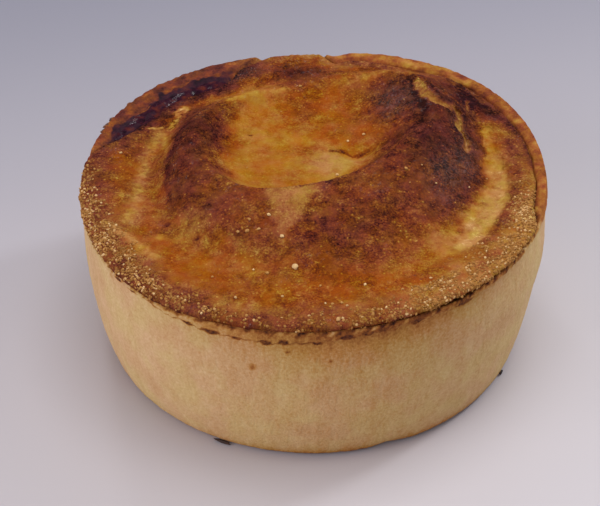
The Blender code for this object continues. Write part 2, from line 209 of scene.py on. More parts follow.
# Pale lines and smears on the crust: points along them, half width, browning
PALE_LINES = (
    (CREASE, 0.9, 0.2), (LEFT_VALLEY, 1.2, 0.28), (((-29.9, 14), (-29.5, 9.5), (-28.6, 5)), 0.9, 0.28),
    (((34.8, 12), (35.2, 5), (36, -1), (36, -6.5)), 1, 0.17), (FRONT_VALLEY, 1.1, 0.14),
    (((4.5, 27.2), (9, 27.7), (14, 27.2), (17, 28.5)), 0.9, 0.34),
    (((-17.5, 20.3), (-14, 22.7), (-10.4, 24.5), (-6, 26)), 0.6, 0.16),
)
TEARS = ((((-26.4, 22.2), (-27.8, 20.6)), 1.1, 0.25), (((-27.6, 20.6), (-28.6, 17.6), (-29, 16)), 0.6, 0.28),
         (((-33.4, 15.6), (-30.6, 16.6)), 0.4, 0.30))
# Dark lines: points along them, half width, browning added
DARK_LINES = (
    (PLATE_EDGE, 0.8, 0.22),
    (((30.6, 31), (31.4, 25), (34, 21), (39.2, 15.6), (41.4, 11), (42.4, 6), (42.8, 0)), 0.9, 0.24),
    (RIGHT_BORDER, 1.3, 0.12), (((29.1, 12.2), (28.7, 9.6)), 0.2, 0.4),
    (((-9.5, -11.2), (-3, -11.3), (2.5, -10.8)), 0.7, 0.25),
    (((15, -34), (22, -29.5), (29, -24), (35.5, -15.5)), 1.4, 0.10),
    (((-27.6, 5), (-28.2, 0), (-27.8, -6), (-26.5, -12)), 0.7, 0.16),
    (((-38.4, 15.6), (-40.6, 13), (-42.4, 9.4)), 0.5, 0.3),
)

# Hairline cracks, pits as middle and radius, and lines that stand up or are pressed in, with half width and height
DARK_CRACKS = (
    # The first is the crease at the fold's notch, painted dark: painted shade in the crease, over its shallow groove.
    ((3.6, 6.2), (5.8, 5.6), (7.6, 4.7), (9.2, 5.2), (11, 6.6)),
    ((38, -13.5), (40.2, -10.8), (41.8, -10.2)),
)
# The pits are painted dark as well as sunk: painted shade in the holes.
PITS = (((-29.3, 20.4), 0.4), ((-27.2, -15.2), 0.5), ((-21.3, -20.3), 0.45), ((-12.5, 11.5), 0.25))
TORN_PIT, TORN_PIT_DEPTH = ((-29.3, 20.4), (0.5, 0.5)), 0.25
RAISED_LINES = ((PLATE_EDGE, 0.9, -0.7), (CREASE, 0.9, 0.35), (TEARS[0][0], 1.3, 0.4),
                *((line, 0.4, -0.14) for line in DARK_CRACKS))

# How much egg glaze shows, from 1 for all to 0 for none: on the lid and its ridge, on patches and along lines
CRUST_GLAZE, RIDGE_GLAZE = 0.8, 0.5
GLAZE_PATCHES = ((3.8, 1.5, 5, 2.6, 0, -0.5), (-22.5, -16.5, 5, 4, 0, 0.15))
GLAZE_LINES = ((RIGHT_BORDER, 1.6, 0.9), (LEFT_VALLEY, 1.8, 0.1), (FRONT_VALLEY, 3.5, 0.35),
               (FRONT_VALLEY, 1.5, -0.5))
GLAZED_SIDE = (33, 3, 0.6)      # from this far right, over this width, to this glaze

# Tones of the lid's finish, and its uneven edges and mottling as size across and amount
PATCH_EDGES, LINE_EDGES, GLAZE_EDGES, FOLD_EDGES, CRACK_EDGES = (5, 1.5), (1.4, 0.45), (5, 2), (3, 1.2), (1.4, 0.6)
VALLEY_MOTTLE, CRUMB_MOTTLE = (2, 0.26), (0.8, 0.4)
TRIANGLE_TONE, TRIANGLE_GLAZE = 0.375, -0.2
CRACK_TONE, CRACK_GLAZE, CRACK_HALO, HALO_WIDTH = 0.42, -0.4, 0.26, 2.2
# The dark cracks' tone is also painted shade in the fold's crease; the pits' tone is painted shade.
DARK_CRACK_AND_SHADE_TONE, DARK_CRACK_WIDTH, PIT_SHADE_TONE = 0.66, 0.34, 0.85
TEAR_GLAZE, CREASE_GLAZE, BORDER_GLAZE = 0.3, 0.25, 0.12
LID_EDGE_BAKE = 0.52
TORN_SPREAD = 1.4               # pale crumb fills this much more of a crack or tear than its soft edge

# Gravy: the arc it covers, and places where it ran further in or out, each as direction, half width and distance
SPILL_ARC, SPILL_BLEND, SPILL_EDGES = (115, 165), 13, (3, 1.4)
SPILL_INWARD = (152, 11, 1.3)
SPILL_OUTWARD = ((120, 7, 1), (147.3, 4.5, -2.2))

# Meeting line of lid and case: the slit left open there, and burnt crumbs under it as angle, depth and half sizes
SEAM_GAPS = (0.3, 0.3, 0.3, 0.3, 0.3, 0.1, 0.03, 0.03, 0.04, 0.06, 0.12, 0.12)
# How dark the seam under the lid's edge is painted, round the pie: burnt crust with painted shade under the lid.
SEAM_DARK = (1, 1, 1, 1, 1, 0.7, 0.4, 0.45, 0.8, 1, 0.85, 0.85)
SEAM_HOLE = (304.5, 3, 0.5)
PRESSED_DEPTHS = ((0, 1), (90, 1.3), (180, 1.2), (229, 0.5), (236, 1.3), (246, 2.2), (262, 2.5),
                  (275, 2.1), (288, 1.3), (300, 1.2), (330, 0.9), (360, 1))
PRESSED_LINE = (229, 272)
BURNT_CRUMBS = (
    (219, 0.9, 1.4, 0.25), (224.5, 0.9, 1.5, 0.2), (241, 1.7, 1.6, 0.3), (246.5, 2.2, 2.2, 0.42),
    (252.5, 2.5, 1.4, 0.3), (259, 2.6, 1, 0.45), (263, 2.4, 1.1, 0.45), (270.5, 2.6, 1.2, 0.2),
    (277, 1.5, 1.5, 0.35), (281.5, 1.2, 1.4, 0.3), (285.5, 1, 1.2, 0.3), (293, 1.2, 1.4, 0.4), (306, 1.3, 2, 0.4),
)

# Browning of the case: the wall, more towards the front and under the lid; the seam, with painted shade under the
# lid's edge; the foot; the pressed edge, whose dark line holds painted shade under the bead
WALL_TONE = 0.2
FRONT = (280, 36)
FRONT_TONE, FRONT_TOAST, TOAST_DEPTH = 0.09, 0.42, 4.8
SEAM_REACH = (0.6, 0.6, 0.8, 0.8, 0.8, 0.6, 0.3, 0.3, 0.5, 0.7, 1.1, 0.8)
# The seam's tone is burnt crust with painted shade under the lid's edge; the crumb tone also paints the pressed edge's
# dark line, with painted shade under the bead; the hidden lip's tone is painted shade under the lid.
SEAM_TONE, CRUMB_AND_SHADE_TONE, HIDDEN_LIP_SHADE_TONE, PRESSED_TONE = 0.69, 0.8, 0.6, 0.03
SEAM_MOTTLE, PRESSED_MOTTLE, LIP_MOTTLE = (1.4, 0.5), (2, 0.1), (2.4, 0.3)
FOOT_ARC, FOOT_TONES = (250, 345), (0.25, 0.5)
# Spots on the wall: direction, height, size, browning
WALL_SPOTS = ((256, 23.6, 0.6, 0.34), (264, 28, 0.35, 0.4), (273.5, 25.8, 0.3, 0.35), (216, 30.5, 0.6, 0.15))

# How much of the edge the grains cover, at directions round the pie, and how wide their bed is, as a row of twelve
GRAIN_SHARES = ((172, 0), (184, 0.55), (205, 0.95), (226, 0.75), (242, 0.28), (262, 0.1), (284, 0.2),
                (297, 0.75), (309, 0.75), (314, 0.3), (318, 0.4), (323, 0.95), (329, 0.45), (335, 1), (341, 0.8),
                (350, 0.2), (358, 0))
GRAIN_EDGES, GRAIN_CLUMPS = (4, 1.6), (2.4, 1.3)
GRAIN_BAND = (2, 0.6, 0.6, 0.4, 0.2, 0.4, 4, 6.5, 4, 3, 6, 6.5)
GRAIN_SIZES = {"Grains per square metre": 8e6, "Grain radius": 0.00029, "Least share": 0.4, "Most share": 1.25,
               "Seed": 4}
FULL_TURN = 6.283
# Loose grains that stand alone on the crust: x, y, radius. The first seven, small and pale on the dark dome and the
# back lobe, are painted highlights made as grains, standing in for glints.
LONE_GRAINS_AND_GLINTS = (
    (20.3, -7.2, 0.18), (17.4, -8.4, 0.2), (17.8, -11.5, 0.17), (22.8, -10.5, 0.2), (29.4, -8, 0.2),
    (33.4, -3.1, 0.2), (18.5, 17.5, 0.2), (-5, -9.6, 0.2), (-3.4, -9.2, 0.22), (-1.8, -9.5, 0.2), (0.2, -9.2, 0.2),
    (-2.6, -10.8, 0.18), (-4.2, -11.6, 0.18), (1.2, -9.9, 0.18), (-3.4, -29.5, 0.62), (-13.8, -21.3, 0.34),
    (-12.1, -21.4, 0.42), (-10, -21.3, 0.34), (-5.8, -23.2, 0.42), (-8.2, -18.7, 0.38), (-11.7, -19.3, 0.28),
    (-8.3, -30.6, 0.36), (3.9, -43.1, 0.45), (8.8, -33.8, 0.3), (-38.2, 7, 0.3), (17.2, -8.3, 0.34),
    (-2.5, 26.8, 0.34), (10.2, 10.4, 0.34), (7, 8.8, 0.3), (4.6, -2.4, 0.32), (3, -39.2, 0.28), (4.6, -39, 0.3),
    (5.5, -39.8, 0.25), (1.8, -39, 0.22), (-13.7, -37, 0.3), (1, -34, 0.25), (15.2, -35.6, 0.28),
    (-5.6, -36.6, 0.25), (-10.8, -29.4, 0.22), (-34, -25, 0.3), (-32.6, -26.4, 0.25), (-18, -31, 0.25),
)

GRAIN_SHAPE = (1, 0.8, 0.7)
LUMP_FINENESS, LUMP_SWELL = 1.4, 0.5

# Burnt crumbs at the foot: angle, distance out, half length; half thickness and height of each, and its height up
FOOT_CRUMBS = ((246.5, 0.1, 1.9), (332, 0, 0.8))
FOOT_CRUMB_HALVES, FOOT_CRUMB_UP = (0.27, 0.3), 0.5

# Loose flakes on the outside of the lip: angle, height under the lip's top, half length; and the same halves
LIP_FLAKES = ((159.5, 0.5, 1.2), (157.5, 0.2, 1.3), (155, 0.1, 0.8), (161, 1, 1), (147, 0.2, 0.7))
LIP_FLAKE_HALVES, LIP_FLAKE_OUT = (0.45, 0.3), 0.05

# Colours as 0 to 255 screen values, each at its place on the way from pale to burnt
GLAZED = ((0, (206, 168, 92)), (0.12, (182, 134, 50)), (0.3, (168, 109, 30)), (0.45, (152, 79, 16)),
          (0.6, (129, 61, 19)), (0.75, (100, 44, 23)), (0.88, (80, 34, 24)), (1, (46, 19, 18)))
DRY = ((0, (216, 182, 120)), (0.12, (190, 150, 86)), (0.3, (173, 127, 68)), (0.45, (152, 96, 52)),
       (0.6, (131, 71, 46)), (0.75, (110, 58, 46)), (0.88, (84, 40, 36)), (1, (48, 22, 26)))
WALL = ((0, (232, 204, 166)), (0.21, (210, 176, 129)), (0.45, (182, 130, 68)), (0.65, (142, 84, 38)),
        (0.85, (84, 44, 28)), (1, (36, 20, 18)))
GRAVY = ((0.3, (26, 10, 20)), (0.5, (52, 20, 34)), (0.68, (92, 38, 30)))
SEMOLINA = ((0, (148, 100, 50)), (0.5, (164, 114, 58)), (0.85, (188, 138, 78)), (1, (226, 190, 136)))
# The board runs from its front colour to a darker back: the darkening is painted shade, where less lamp light falls.
BOARD_AND_PAINTED_SHADE = ((0, (209, 203, 206)), (0.5, (175, 170, 177)), (1, (134, 133, 147)))
BURNT_BROWNS = (20, 10, 8), (70, 38, 22)
FLAKE_BROWNS = (70, 36, 20), (136, 84, 44)
OLIVE_TINT, PURPLE_TINT = (250, 255, 212), (255, 237, 246)
GRAVY_LUMPS = 2.2
THIN_GRAVY_GLOSS = 0.03

# Room and camera. Floor in metres. Each light: name, place and aim in metres, size, power, colour
FLOOR_SIZE = 6
ROOM_COLOUR, ROOM_LIGHT = (0.96, 0.95, 1), 0.47
LIGHTS = (
    ("overhead", (0.06, 0.02, 0.62), (0, 0, 0.02), 0.34, 1.42, (1, 0.98, 0.97)),
    ("window", (0.47, 0.34, 0.42), (0, 0, 0.03), 0.30, 0.6, (0.94, 0.97, 1)),
    ("window_pane", (0.50, 0.26, 0.48), (0.02, 0, 0.04), 0.09, 1.25, (0.90, 0.95, 1)),
    ("rear_pane", (-0.18, 0.52, 0.46), (0, 0.01, 0.04), 0.09, 0.3, (0.92, 0.95, 1)),
    ("front_left", (-0.60, -0.36, 0.28), (0, 0, 0.02), 0.45, 2.1, (1, 0.95, 1)),
)
CAMERA_AIM, CAMERA_RISE, CAMERA_AWAY = (-2.548, 0, 15.067), 37.636, 265.14
CAMERA_LENS = 78, 36, 0.01     # lens, sensor width and nearest distance

# Mesh
LID_GRID = 276
LID_SHOULDER_STEPS = 8
UNDER_STATIONS = (0.96, 0.9, 0.85, 0.5)
CASE_STEPS = 880
GRAVY_STEPS, GRAVY_SIDES = 300, 36
WALL_STEP, WALL_FINE_STEP, WALL_FINE_DEPTH = 0.55, 0.17, 4


# ---------------------------------------------------------------- measuring helpers

def smooth(t):
    """Ease from 0 at t = 0 to 1 at t = 1."""
    t = np.clip(t, 0, 1)
    return t * t * (3 - 2 * t)


def mix(a, b, t):
    return a + (b - a) * t


def polar(radius, angle):
    return radius * np.cos(np.radians(angle)), radius * np.sin(np.radians(angle))


def angle_of(x, y):
    return np.degrees(np.arctan2(y, x)) % 360


def turn_between(angle, centre):
    return np.abs((angle - centre + 180) % 360 - 180)


def in_arc(angle, arc, blend):
    """1 inside an arc and 0 outside it, easing over a blend that is centred on each end."""
    middle = 0.5 * (arc[0] + arc[1])
    half = 0.5 * (arc[1] - arc[0])
    return smooth((half - turn_between(angle, middle)) / blend + 0.5)


def bell(angle, centre, width):
    return np.exp(-(turn_between(angle, centre) / width) ** 2)


def compass(values, angle):
    """Smooth value at an angle, from values at equal steps round the circle."""
    row = np.asarray(values)
    place = np.asarray(angle) % 360 / 360 * len(row)
    step = place.astype(int)
    t = place - step
    a, b, c, d = (row[(step + k) % len(row)] for k in (-1, 0, 1, 2))
    return b + 0.5 * t * (c - a + t * (2 * a - 5 * b + 4 * c - d + t * (3 * (b - c) + d - a)))


def rough(x, y, size_and_height, seed, octaves=1):
    """Uneven height over a plane, from -height to +height, with finer octaves on top."""
    size, height = size_and_height
    total = np.zeros(np.shape(x))
    for octave in range(octaves):
        scale = 2 ** octave / size
        layer = [noise.noise((a, b, seed + 7 * octave)) for a, b in zip((x * scale).ravel(), (y * scale).ravel())]
        total += np.reshape(layer, np.shape(x)) / 2 ** octave
    return height * total


def creased(x, y, size_and_height, seed):
    """Sharp creases between rounded folds of skin, drawn out along the ridge round the sunken part."""
    size, height = size_and_height
    dx, dy = x - BASIN_CENTRE[0], y - BASIN_CENTRE[1]
    reach = np.hypot(dx, dy)
    along = CREASE_TURNS / np.maximum(reach, 1)
    spots = zip((dx * along).ravel(), (dy * along).ravel(), (reach / size + seed).ravel())
    fold = np.reshape([noise.noise(spot) for spot in spots], np.shape(x))
    return height * (0.4 - 1.6 * np.abs(fold))


def ragged(angle, seed):
    """Uneven edge of torn and pressed pastry, along the rim."""
    return rough(*polar(RIM_RADIUS, angle), RAGGED, seed)


def crumble(angle, size_and_height, seed):
    """Finer raggedness along the rim."""
    return rough(*polar(RIM_RADIUS, angle), size_and_height, seed, 2)


def patch(x, y, middle, reach, turn=0):
    """Soft oval patch: 1 in the middle, fading to nothing past its half lengths."""
    dx, dy = x - middle[0], y - middle[1]
    c, s = math.cos(math.radians(turn)), math.sin(math.radians(turn))
    return np.exp(-((dx * c + dy * s) / reach[0]) ** 2 - ((dy * c - dx * s) / reach[1]) ** 2)


def patches(x, y, rows):
    """Soft oval patches added up."""
    return sum(amount * patch(x, y, row[:2], row[2:4], row[4]) for *row, amount in rows)


def away_from(x, y, points):
    """Distance to a broken line."""
    nearest = np.full(np.shape(x), 1e9)
    for (x0, y0), (x1, y1) in zip(points, points[1:]):
        length = (x1 - x0) ** 2 + (y1 - y0) ** 2
        share = np.clip(((x - x0) * (x1 - x0) + (y - y0) * (y1 - y0)) / length, 0, 1)
        nearest = np.minimum(nearest, np.hypot(x - x0 - share * (x1 - x0), y - y0 - share * (y1 - y0)))
    return nearest


def stroke(x, y, points, width):
    """Soft line: 1 along it, fading to nothing past its half width."""
    return np.exp(-(away_from(x, y, points) / width) ** 2)


# ---------------------------------------------------------------- main forms

def rim_radius(angle):
    swell = sum(added * bell(angle, centre, width) for centre, width, added in RIM_SWELLS)
    return RIM_RADIUS + swell - NOTCH_DEPTH * bell(angle, NOTCH_ANGLE, NOTCH_WIDTH)


def rim_height(x, y):
    return WALL_HEIGHT + RIM_SLOPE_X * x + RIM_SLOPE_Y * y


def covered(angle):
    """1 where the lid's edge lies over the case, 0 where it is tucked inside the case's lip."""
    back, front = COVERED_ARCS
    back_blend = np.where(np.asarray(angle) < 0.5 * sum(back), *ARC_BLENDS[:2])
    return np.maximum(in_arc(angle, back, back_blend), in_arc(angle, front, ARC_BLENDS[2]))


def lid_edge(angle):
    tucked = compass(LIP_WIDTH, angle) + LIP_GROOVE + SEEP_WIDTH * in_arc(angle, SEEP_ARC, SEEP_BLEND)
    return rim_radius(angle) + mix(-tucked, LID_OVERHANG, covered(angle)) + ragged(angle, LID_SEED)


def crust_edge(angle):
    """The lid's edge, swollen into the groove where it is tucked inside the lip."""
    return lid_edge(angle) + TUCK * (1 - covered(angle))


def shoulder(angle):
    return mix(TUCKED_SHOULDER, LID_SHOULDER, covered(angle))


def lid_under(radius, angle):
    rise = smooth((radius - RIM_RADIUS + BEARING_WIDTH) / BEARING_WIDTH)
    return -LID_DEPTH * (1 - rise * covered(angle))


def lip_foot(angle):
    inner = rim_radius(angle) - compass(LIP_WIDTH, angle) - ragged(angle, LIP_SEED)
    return np.maximum(lid_edge(angle) + GAP, inner)


def case_top(radius, angle):
    filled = smooth((radius - crust_edge(angle)) / 0.2 + 0.5) * (1 - covered(angle)) ** 0.3
    gap = compass(SEAM_GAPS, angle) + SEAM_HOLE[2] * bell(angle, SEAM_HOLE[0], SEAM_HOLE[1])
    floor = mix(GROOVE_FLOOR, LIP_RISE, smooth(2.5 * covered(angle)))
    bearing = mix(lid_under(radius, angle) - gap, floor, filled)
    lip = LIP_RISE + LIP_UNEVEN * ragged(angle, CREST_SEED)
    return mix(bearing, lip, smooth((radius - lip_foot(angle)) / LIP_SLOPE))


def wall_radius(share, angle, bead_end=BEAD_BAND[1]):
    """Outer radius of the case at a share of its height."""
    plain = RIM_RADIUS - WALL_DRAFT * (1 - share) ** 3 + WALL_BELLY * np.sin(math.pi * share)
    depth = (1 - share) * WALL_HEIGHT
    bead = smooth((depth - BEAD_BAND[0]) / BEAD_BLEND + 0.5) * smooth((bead_end - depth) / BEAD_BLEND + 0.5)
    foot = smooth(1 - share * WALL_HEIGHT / FOOT_DENT_HEIGHT) * bell(angle, FOOT_DENT_ANGLE, FOOT_DENT_WIDTH)
    return plain + (rim_radius(angle) - RIM_RADIUS) * share + BEAD_OUT * bead - FOOT_DENT_DEPTH * foot


def shoulder_line():
    """The line where the lid's top ends, as directions and reaches from the middle of the sunken part."""
    around = np.arange(0, 360, 0.25)
    x, y = polar(crust_edge(around) - shoulder(around), around)
    angle = angle_of(x - BASIN_CENTRE[0], y - BASIN_CENTRE[1])
    reach = np.hypot(x - BASIN_CENTRE[0], y - BASIN_CENTRE[1])
    order = np.argsort(angle)
    return angle[order], reach[order]


SHOULDER = shoulder_line()


def lid_zones(x, y):
    """Direction from the middle of the sunken part, and place in the lid's zones: 0 to 1 over the floor,
    to 2 up the climb, to 3 down the fall and to 4 over the border."""
    dx, dy = x - BASIN_CENTRE[0], y - BASIN_CENTRE[1]
    angle, reach = angle_of(dx, dy), np.hypot(dx, dy)
    marks = [0, *(compass(row, angle) for row in (FLOOR_REACH, CREST_REACH, VALLEY_REACH)),
             np.interp(angle, *SHOULDER, period=360)]
    zone = sum(np.clip((reach - a) / (b - a), 0, 1) for a, b in zip(marks, marks[1:]))
    return angle, zone


def lid_form(angle, zone):
    """Height of the lid's top over the rim plane."""
    crest, valley = compass(CREST_RISE, angle), compass(VALLEY_RISE, angle)
    floor = FLOOR_RISE - FLOOR_DISH * (1 - np.minimum(zone, 1) ** 2)
    climb = mix(FLOOR_RISE, crest, np.clip(zone - 1, 0, 1) ** compass(CLIMB_POWER, angle))
    fallen = 0.5 - 0.5 * np.cos(math.pi * np.clip(zone - 2, 0, 1) ** compass(FALL_POWER, angle))
    border = mix(valley, compass(EDGE_RISE, angle), smooth((zone - 3) / BORDER_CLIMB))
    fall = np.where(zone <= 3, mix(crest, valley, fallen), border)
    return np.where(zone <= 1, floor, np.where(zone <= 2, climb, fall))


def crust(x, y):
    """Swelling, fold and lumps of the baked top."""
    start, end, half_width, depth = FOLD
    bump = BACK_BUMP[2] * patch(x, y, BACK_BUMP[0], (BACK_BUMP[1], BACK_BUMP[1]))
    away = np.hypot(x - CRAG_CENTRE[0], y - CRAG_CENTRE[1])
    crags = smooth(2 - 2 * away / CRAG_REACH) * rough(x, y, CRAGS, CRAG_SEED)
    return rough(x, y, LUMPS, CRUST_SEED) + crags + bump - depth * stroke(x, y, (start, end), half_width)


# ---------------------------------------------------------------- finish of the lid, as values over its top

def wander(x, y, size, amount, seed, octaves=3):
    """Places shifted a little here and there, so that patches get uneven edges."""
    return x + rough(x, y, (size, amount), seed, octaves), y + rough(x, y, (size, amount), seed + 40, octaves)


def in_triangle(x, y):
    """1 inside the pale triangle, fading over its soft sides."""
    inside = np.ones(np.shape(x))
    for (x0, y0), (x1, y1) in zip(TRIANGLE, TRIANGLE[1:] + TRIANGLE[:1]):
        side = ((x1 - x0) * (y - y0) - (y1 - y0) * (x - x0)) / math.hypot(x1 - x0, y1 - y0)
        inside = inside * smooth(0.5 - side / TRIANGLE_SOFT)
    return inside


def broad_bake(x, y):
    """Browning that follows the form, with darker and paler patches and a dry triangle."""
    px, py = wander(x, y, *PATCH_EDGES, 61, 2)
    angle, zone = lid_zones(px, py)
    low, bake = 0, MIDDLE_BAKE + 0 * zone
    for mark, row in BAKE_MARKS:
        high = compass(mark, angle) if isinstance(mark, tuple) else mark
        bake = mix(bake, compass(row, angle), smooth((zone - low) / (high - low)))
        low = high
    bake = bake + patches(px, py, BROWN_PATCHES) - patches(px, py, PALE_PATCHES)
    pale_valley = smooth((0.42 - bake) / 0.16) * smooth(zone - 2)
    bake = bake + pale_valley * rough(x, y, VALLEY_MOTTLE, 77, 3)
    return mix(bake, TRIANGLE_TONE, 0.95 * in_triangle(mix(x, px, 0.5), mix(y, py, 0.5)))


def lid_bake(x, y):
    """Browning of the lid, with its lines, cracks, tears and pits, and painted shade in the fold's crease and in the
    pits.
    """
    bake = broad_bake(x, y)
    qx, qy = wander(x, y, *LINE_EDGES, 71)
    crumb = rough(x, y, CRUMB_MOTTLE, 73, 2)
    for line, width, tone in PALE_LINES:
        bake = mix(bake, tone + 0.5 * crumb, 0.75 * stroke(qx, qy, line, width))
    for line, width, added in DARK_LINES:
        bake = bake + added * stroke(qx, qy, line, width)
    for line, width, _ in PALE_CRACKS:
        open_crack = stroke(qx, qy, line, width)
        bake = bake + CRACK_HALO * (stroke(qx, qy, line, HALO_WIDTH * width) - open_crack)
        bake = mix(bake, CRACK_TONE + 0.4 * crumb, smooth(TORN_SPREAD * open_crack))
    for line, width, tone in TEARS:
        bake = mix(bake, tone + crumb, smooth(TORN_SPREAD * stroke(qx, qy, line, width)))
    # Dark cracks, the first being the fold's crease: painted shade in the crease.
    for line in DARK_CRACKS:
        bake = mix(bake, DARK_CRACK_AND_SHADE_TONE, 0.8 * stroke(qx, qy, line, DARK_CRACK_WIDTH))
    # Pits painted dark: painted shade in the holes.
    for middle, radius in PITS:
        bake = mix(bake, PIT_SHADE_TONE, patch(x, y, middle, (1.2 * radius, 0.8 * radius)))
    return np.clip(bake, 0, 1)


def gravy_reach(angle):
    """How far out the gravy spreads: past the lip's foot at its right end, and short of it in one place."""
    return lip_foot(angle) + 0.1 + sum(out * bell(angle, side, half) for side, half, out in SPILL_OUTWARD)


def gravy_stain(x, y):
    """Where the gravy lies on crust and lip: 1 in the black strip, fading over its edges."""
    px, py = wander(x, y, *SPILL_EDGES, 57)
    around, reach = angle_of(px, py), np.hypot(px, py)
    inner = crust_edge(around) - SPILL_INWARD[2] * bell(around, *SPILL_INWARD[:2])
    across = smooth((reach - inner) / 2.2 + 0.4) * smooth((gravy_reach(around) - reach) / 1.2 + 0.5)
    return across * in_arc(around, SPILL_ARC, SPILL_BLEND)


def grain_cover(x, y):
    """How thickly semolina grains cover the lid: along the left and front edge."""
    around = angle_of(x, y)
    px, py = wander(x, y, *GRAIN_EDGES, 81)
    inward = lid_edge(around) - np.hypot(px, py)
    width = compass(GRAIN_BAND, around)
    dense = np.interp(around, *zip(*GRAIN_SHARES))
    clumps = smooth(0.8 + rough(x, y, GRAIN_CLUMPS, 83, 2))
    return np.clip(dense * clumps, 0, 1) * smooth(1.7 - 1.7 * inward / np.maximum(width, 0.3))


def lid_glaze(x, y, zone, grains):
    """Where egg glaze shows: everywhere but on dry dough, grains and broken crust."""
    px, py = wander(x, y, *GLAZE_EDGES, 61)
    glaze = mix(CRUST_GLAZE, RIDGE_GLAZE, smooth((zone - 1.2) / 0.5) * smooth((3.3 - zone) / 0.6))
    for row in ORANGE_PATCHES:
        glaze = mix(glaze, 1, patches(px, py, [row]))
    glaze = mix(glaze, TRIANGLE_GLAZE, in_triangle(px, py))
    for *row, amount in GLAZE_PATCHES:
        glaze = mix(glaze, amount, patches(px, py, [(*row, 1)]))
    glaze = mix(glaze, CREASE_GLAZE, 0.8 * stroke(x, y, CREASE, 1.6))
    glaze = mix(glaze, GLAZED_SIDE[2], smooth((x - GLAZED_SIDE[0]) / GLAZED_SIDE[1]))
    for line, width, amount in GLAZE_LINES:
        glaze = mix(glaze, amount, stroke(px, py, line, width))
    around = angle_of(x, y)
    inward = lid_edge(around) - np.hypot(px, py)
    glaze = mix(glaze, BORDER_GLAZE, smooth(1.5 - inward / compass(DRY_BORDER, around)))
    for rows, amount in ((PALE_CRACKS, CRACK_GLAZE), (TEARS, TEAR_GLAZE)):
        for line, *_ in rows:
            glaze = mix(glaze, amount, stroke(x, y, line, 1.2))
    return np.clip(mix(glaze, 0, 0.85 * grains), -0.6, 1)


def lid_shine(x, y):
    """Where the glaze has baked to a glossy skin."""
    return np.clip(patches(x, y, GLOSSY_PATCHES), 0, 1)


def lid_relief(x, y, bake, grains):
    """Fine crags of the top: wrinkled brown skin, blisters, a bed of grains, cracks, creases and pits."""
    wrinkled = smooth((bake - 0.55) / 0.25)
    wx, wy = wander(x, y, *FOLD_EDGES, 89)
    height = wrinkled * (rough(x, y, WRINKLES, 91, 2) + creased(wx, wy, CREASES, 92))
    height += smooth((bake - 0.3) / 0.3) * rough(x, y, BLISTERS, 95)
    height += grains * rough(x, y, GRAIN_BED, 97, 2)
    qx, qy = wander(x, y, *CRACK_EDGES, 71)
    for line, width, depth in PALE_CRACKS:
        open_crack = stroke(qx, qy, line, width)
        height += CRACK_LIPS * stroke(qx, qy, line, HALO_WIDTH * width) - (depth + CRACK_LIPS) * open_crack
        height += open_crack * rough(x, y, CRACK_CRUMBS, 93)
    for line, width, rise in RAISED_LINES:
        height += rise * stroke(qx, qy, line, width)
    height -= TORN_PIT_DEPTH * patch(x, y, *TORN_PIT)
    for middle, radius in PITS:
        height -= radius * patch(x, y, middle, (1.2 * radius, radius))
    return height


def lid_top(x, y):
    """Height of the lid's top over the floor and the values of its finish."""
    angle, zone = lid_zones(x, y)
    bake = lid_bake(x, y)
    grains = grain_cover(x, y)
    height = rim_height(x, y) + lid_form(angle, zone) + crust(x, y) + lid_relief(x, y, bake, grains)
    return height, {"bake": bake, "glaze": lid_glaze(x, y, zone, grains), "grains": grains,
                    "stain": gravy_stain(x, y), "shine": lid_shine(x, y)}


# ---------------------------------------------------------------- mesh helpers

def case_outline_middle():
    """Middle of the case's box about the pie's own axis."""
    around = np.arange(0, 360, 4.5)
    share = np.linspace(0, 1, 60)[:, None]
    x, y = polar(wall_radius(share, around[None, :]), around[None, :])
    return 0.5 * (x.min() + x.max()), 0.5 * (y.min() + y.max())


def pie_axis():
    """Where the pie's own axis stands in the frame."""
    low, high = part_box("pastry_case")
    middle = 0.5 * (low + high)
    mx, my = case_outline_middle()
    return middle.x / MM - mx, middle.y / MM - my


AXIS = pie_axis()


def put(name, data):
    """A new object in the scene."""
    piece = bpy.data.objects.new(name, data)
    bpy.context.scene.collection.objects.link(piece)
    return piece


def add_piece(name, points, faces, values, material, slot, *nodes):
    """A closed smooth mesh from points about the pie's axis, with its finish values, riding on the pie."""
    places = (np.asarray(points) + (AXIS[0], AXIS[1], 0)) * MM
    mesh = bpy.data.meshes.new(name)
    mesh.from_pydata(places.tolist(), [], faces)
    for key, value in values.items():
        layer = mesh.attributes.new(key, "FLOAT", "POINT")
        layer.data.foreach_set("value", np.asarray(value, np.float32))
    mesh.shade_smooth()
    mesh.materials.append(material)
    return dress(put(name, mesh), slot, *nodes)


def dress(piece, slot, *nodes):
    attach(piece, "root")
    if nodes:
        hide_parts(*nodes)
    return piece


def ring_faces(rings, count):
    """Quads between neighbouring rings of the same count, given as the index of each ring's first point."""
    steps = np.arange(count)
    after = (steps + 1) % count
    return [face for a, b in zip(rings, rings[1:])
            for face in np.stack([a + steps, a + after, b + after, b + steps], 1).tolist()]


def fan(centre, ring, count):
    """Triangles from the first point of a ring onwards to a point in its middle."""
    steps = np.arange(count)
    return np.stack([np.full(count, centre), ring + steps, ring + (steps + 1) % count], 1).tolist()


# ---------------------------------------------------------------- lid

def disc_grid(count):
    """A square grid pressed into a disc: share of the radius, angle, quads, and the outer ring in order."""
    line = np.linspace(-1, 1, count + 1)
    u, v = (side.ravel() for side in np.meshgrid(line, line))
    wide = np.abs(u) > np.abs(v)
    safe_u, safe_v = np.where(u == 0, 1, u), np.where(v == 0, 1, v)
    angle = np.where(wide, 45 * v / safe_u + 180 * (u < 0), 90 - 45 * u / safe_v + 180 * (v < 0))
    index = np.arange((count + 1) ** 2).reshape(count + 1, count + 1)
    quads = np.stack([index[:-1, :-1], index[:-1, 1:], index[1:, 1:], index[1:, :-1]], -1).reshape(-1, 4)
    outer = np.concatenate([index[0, :-1], index[:-1, -1], index[-1, :0:-1], index[:0:-1, 0]])
    return np.maximum(np.abs(u), np.abs(v)), angle % 360, quads.tolist(), outer


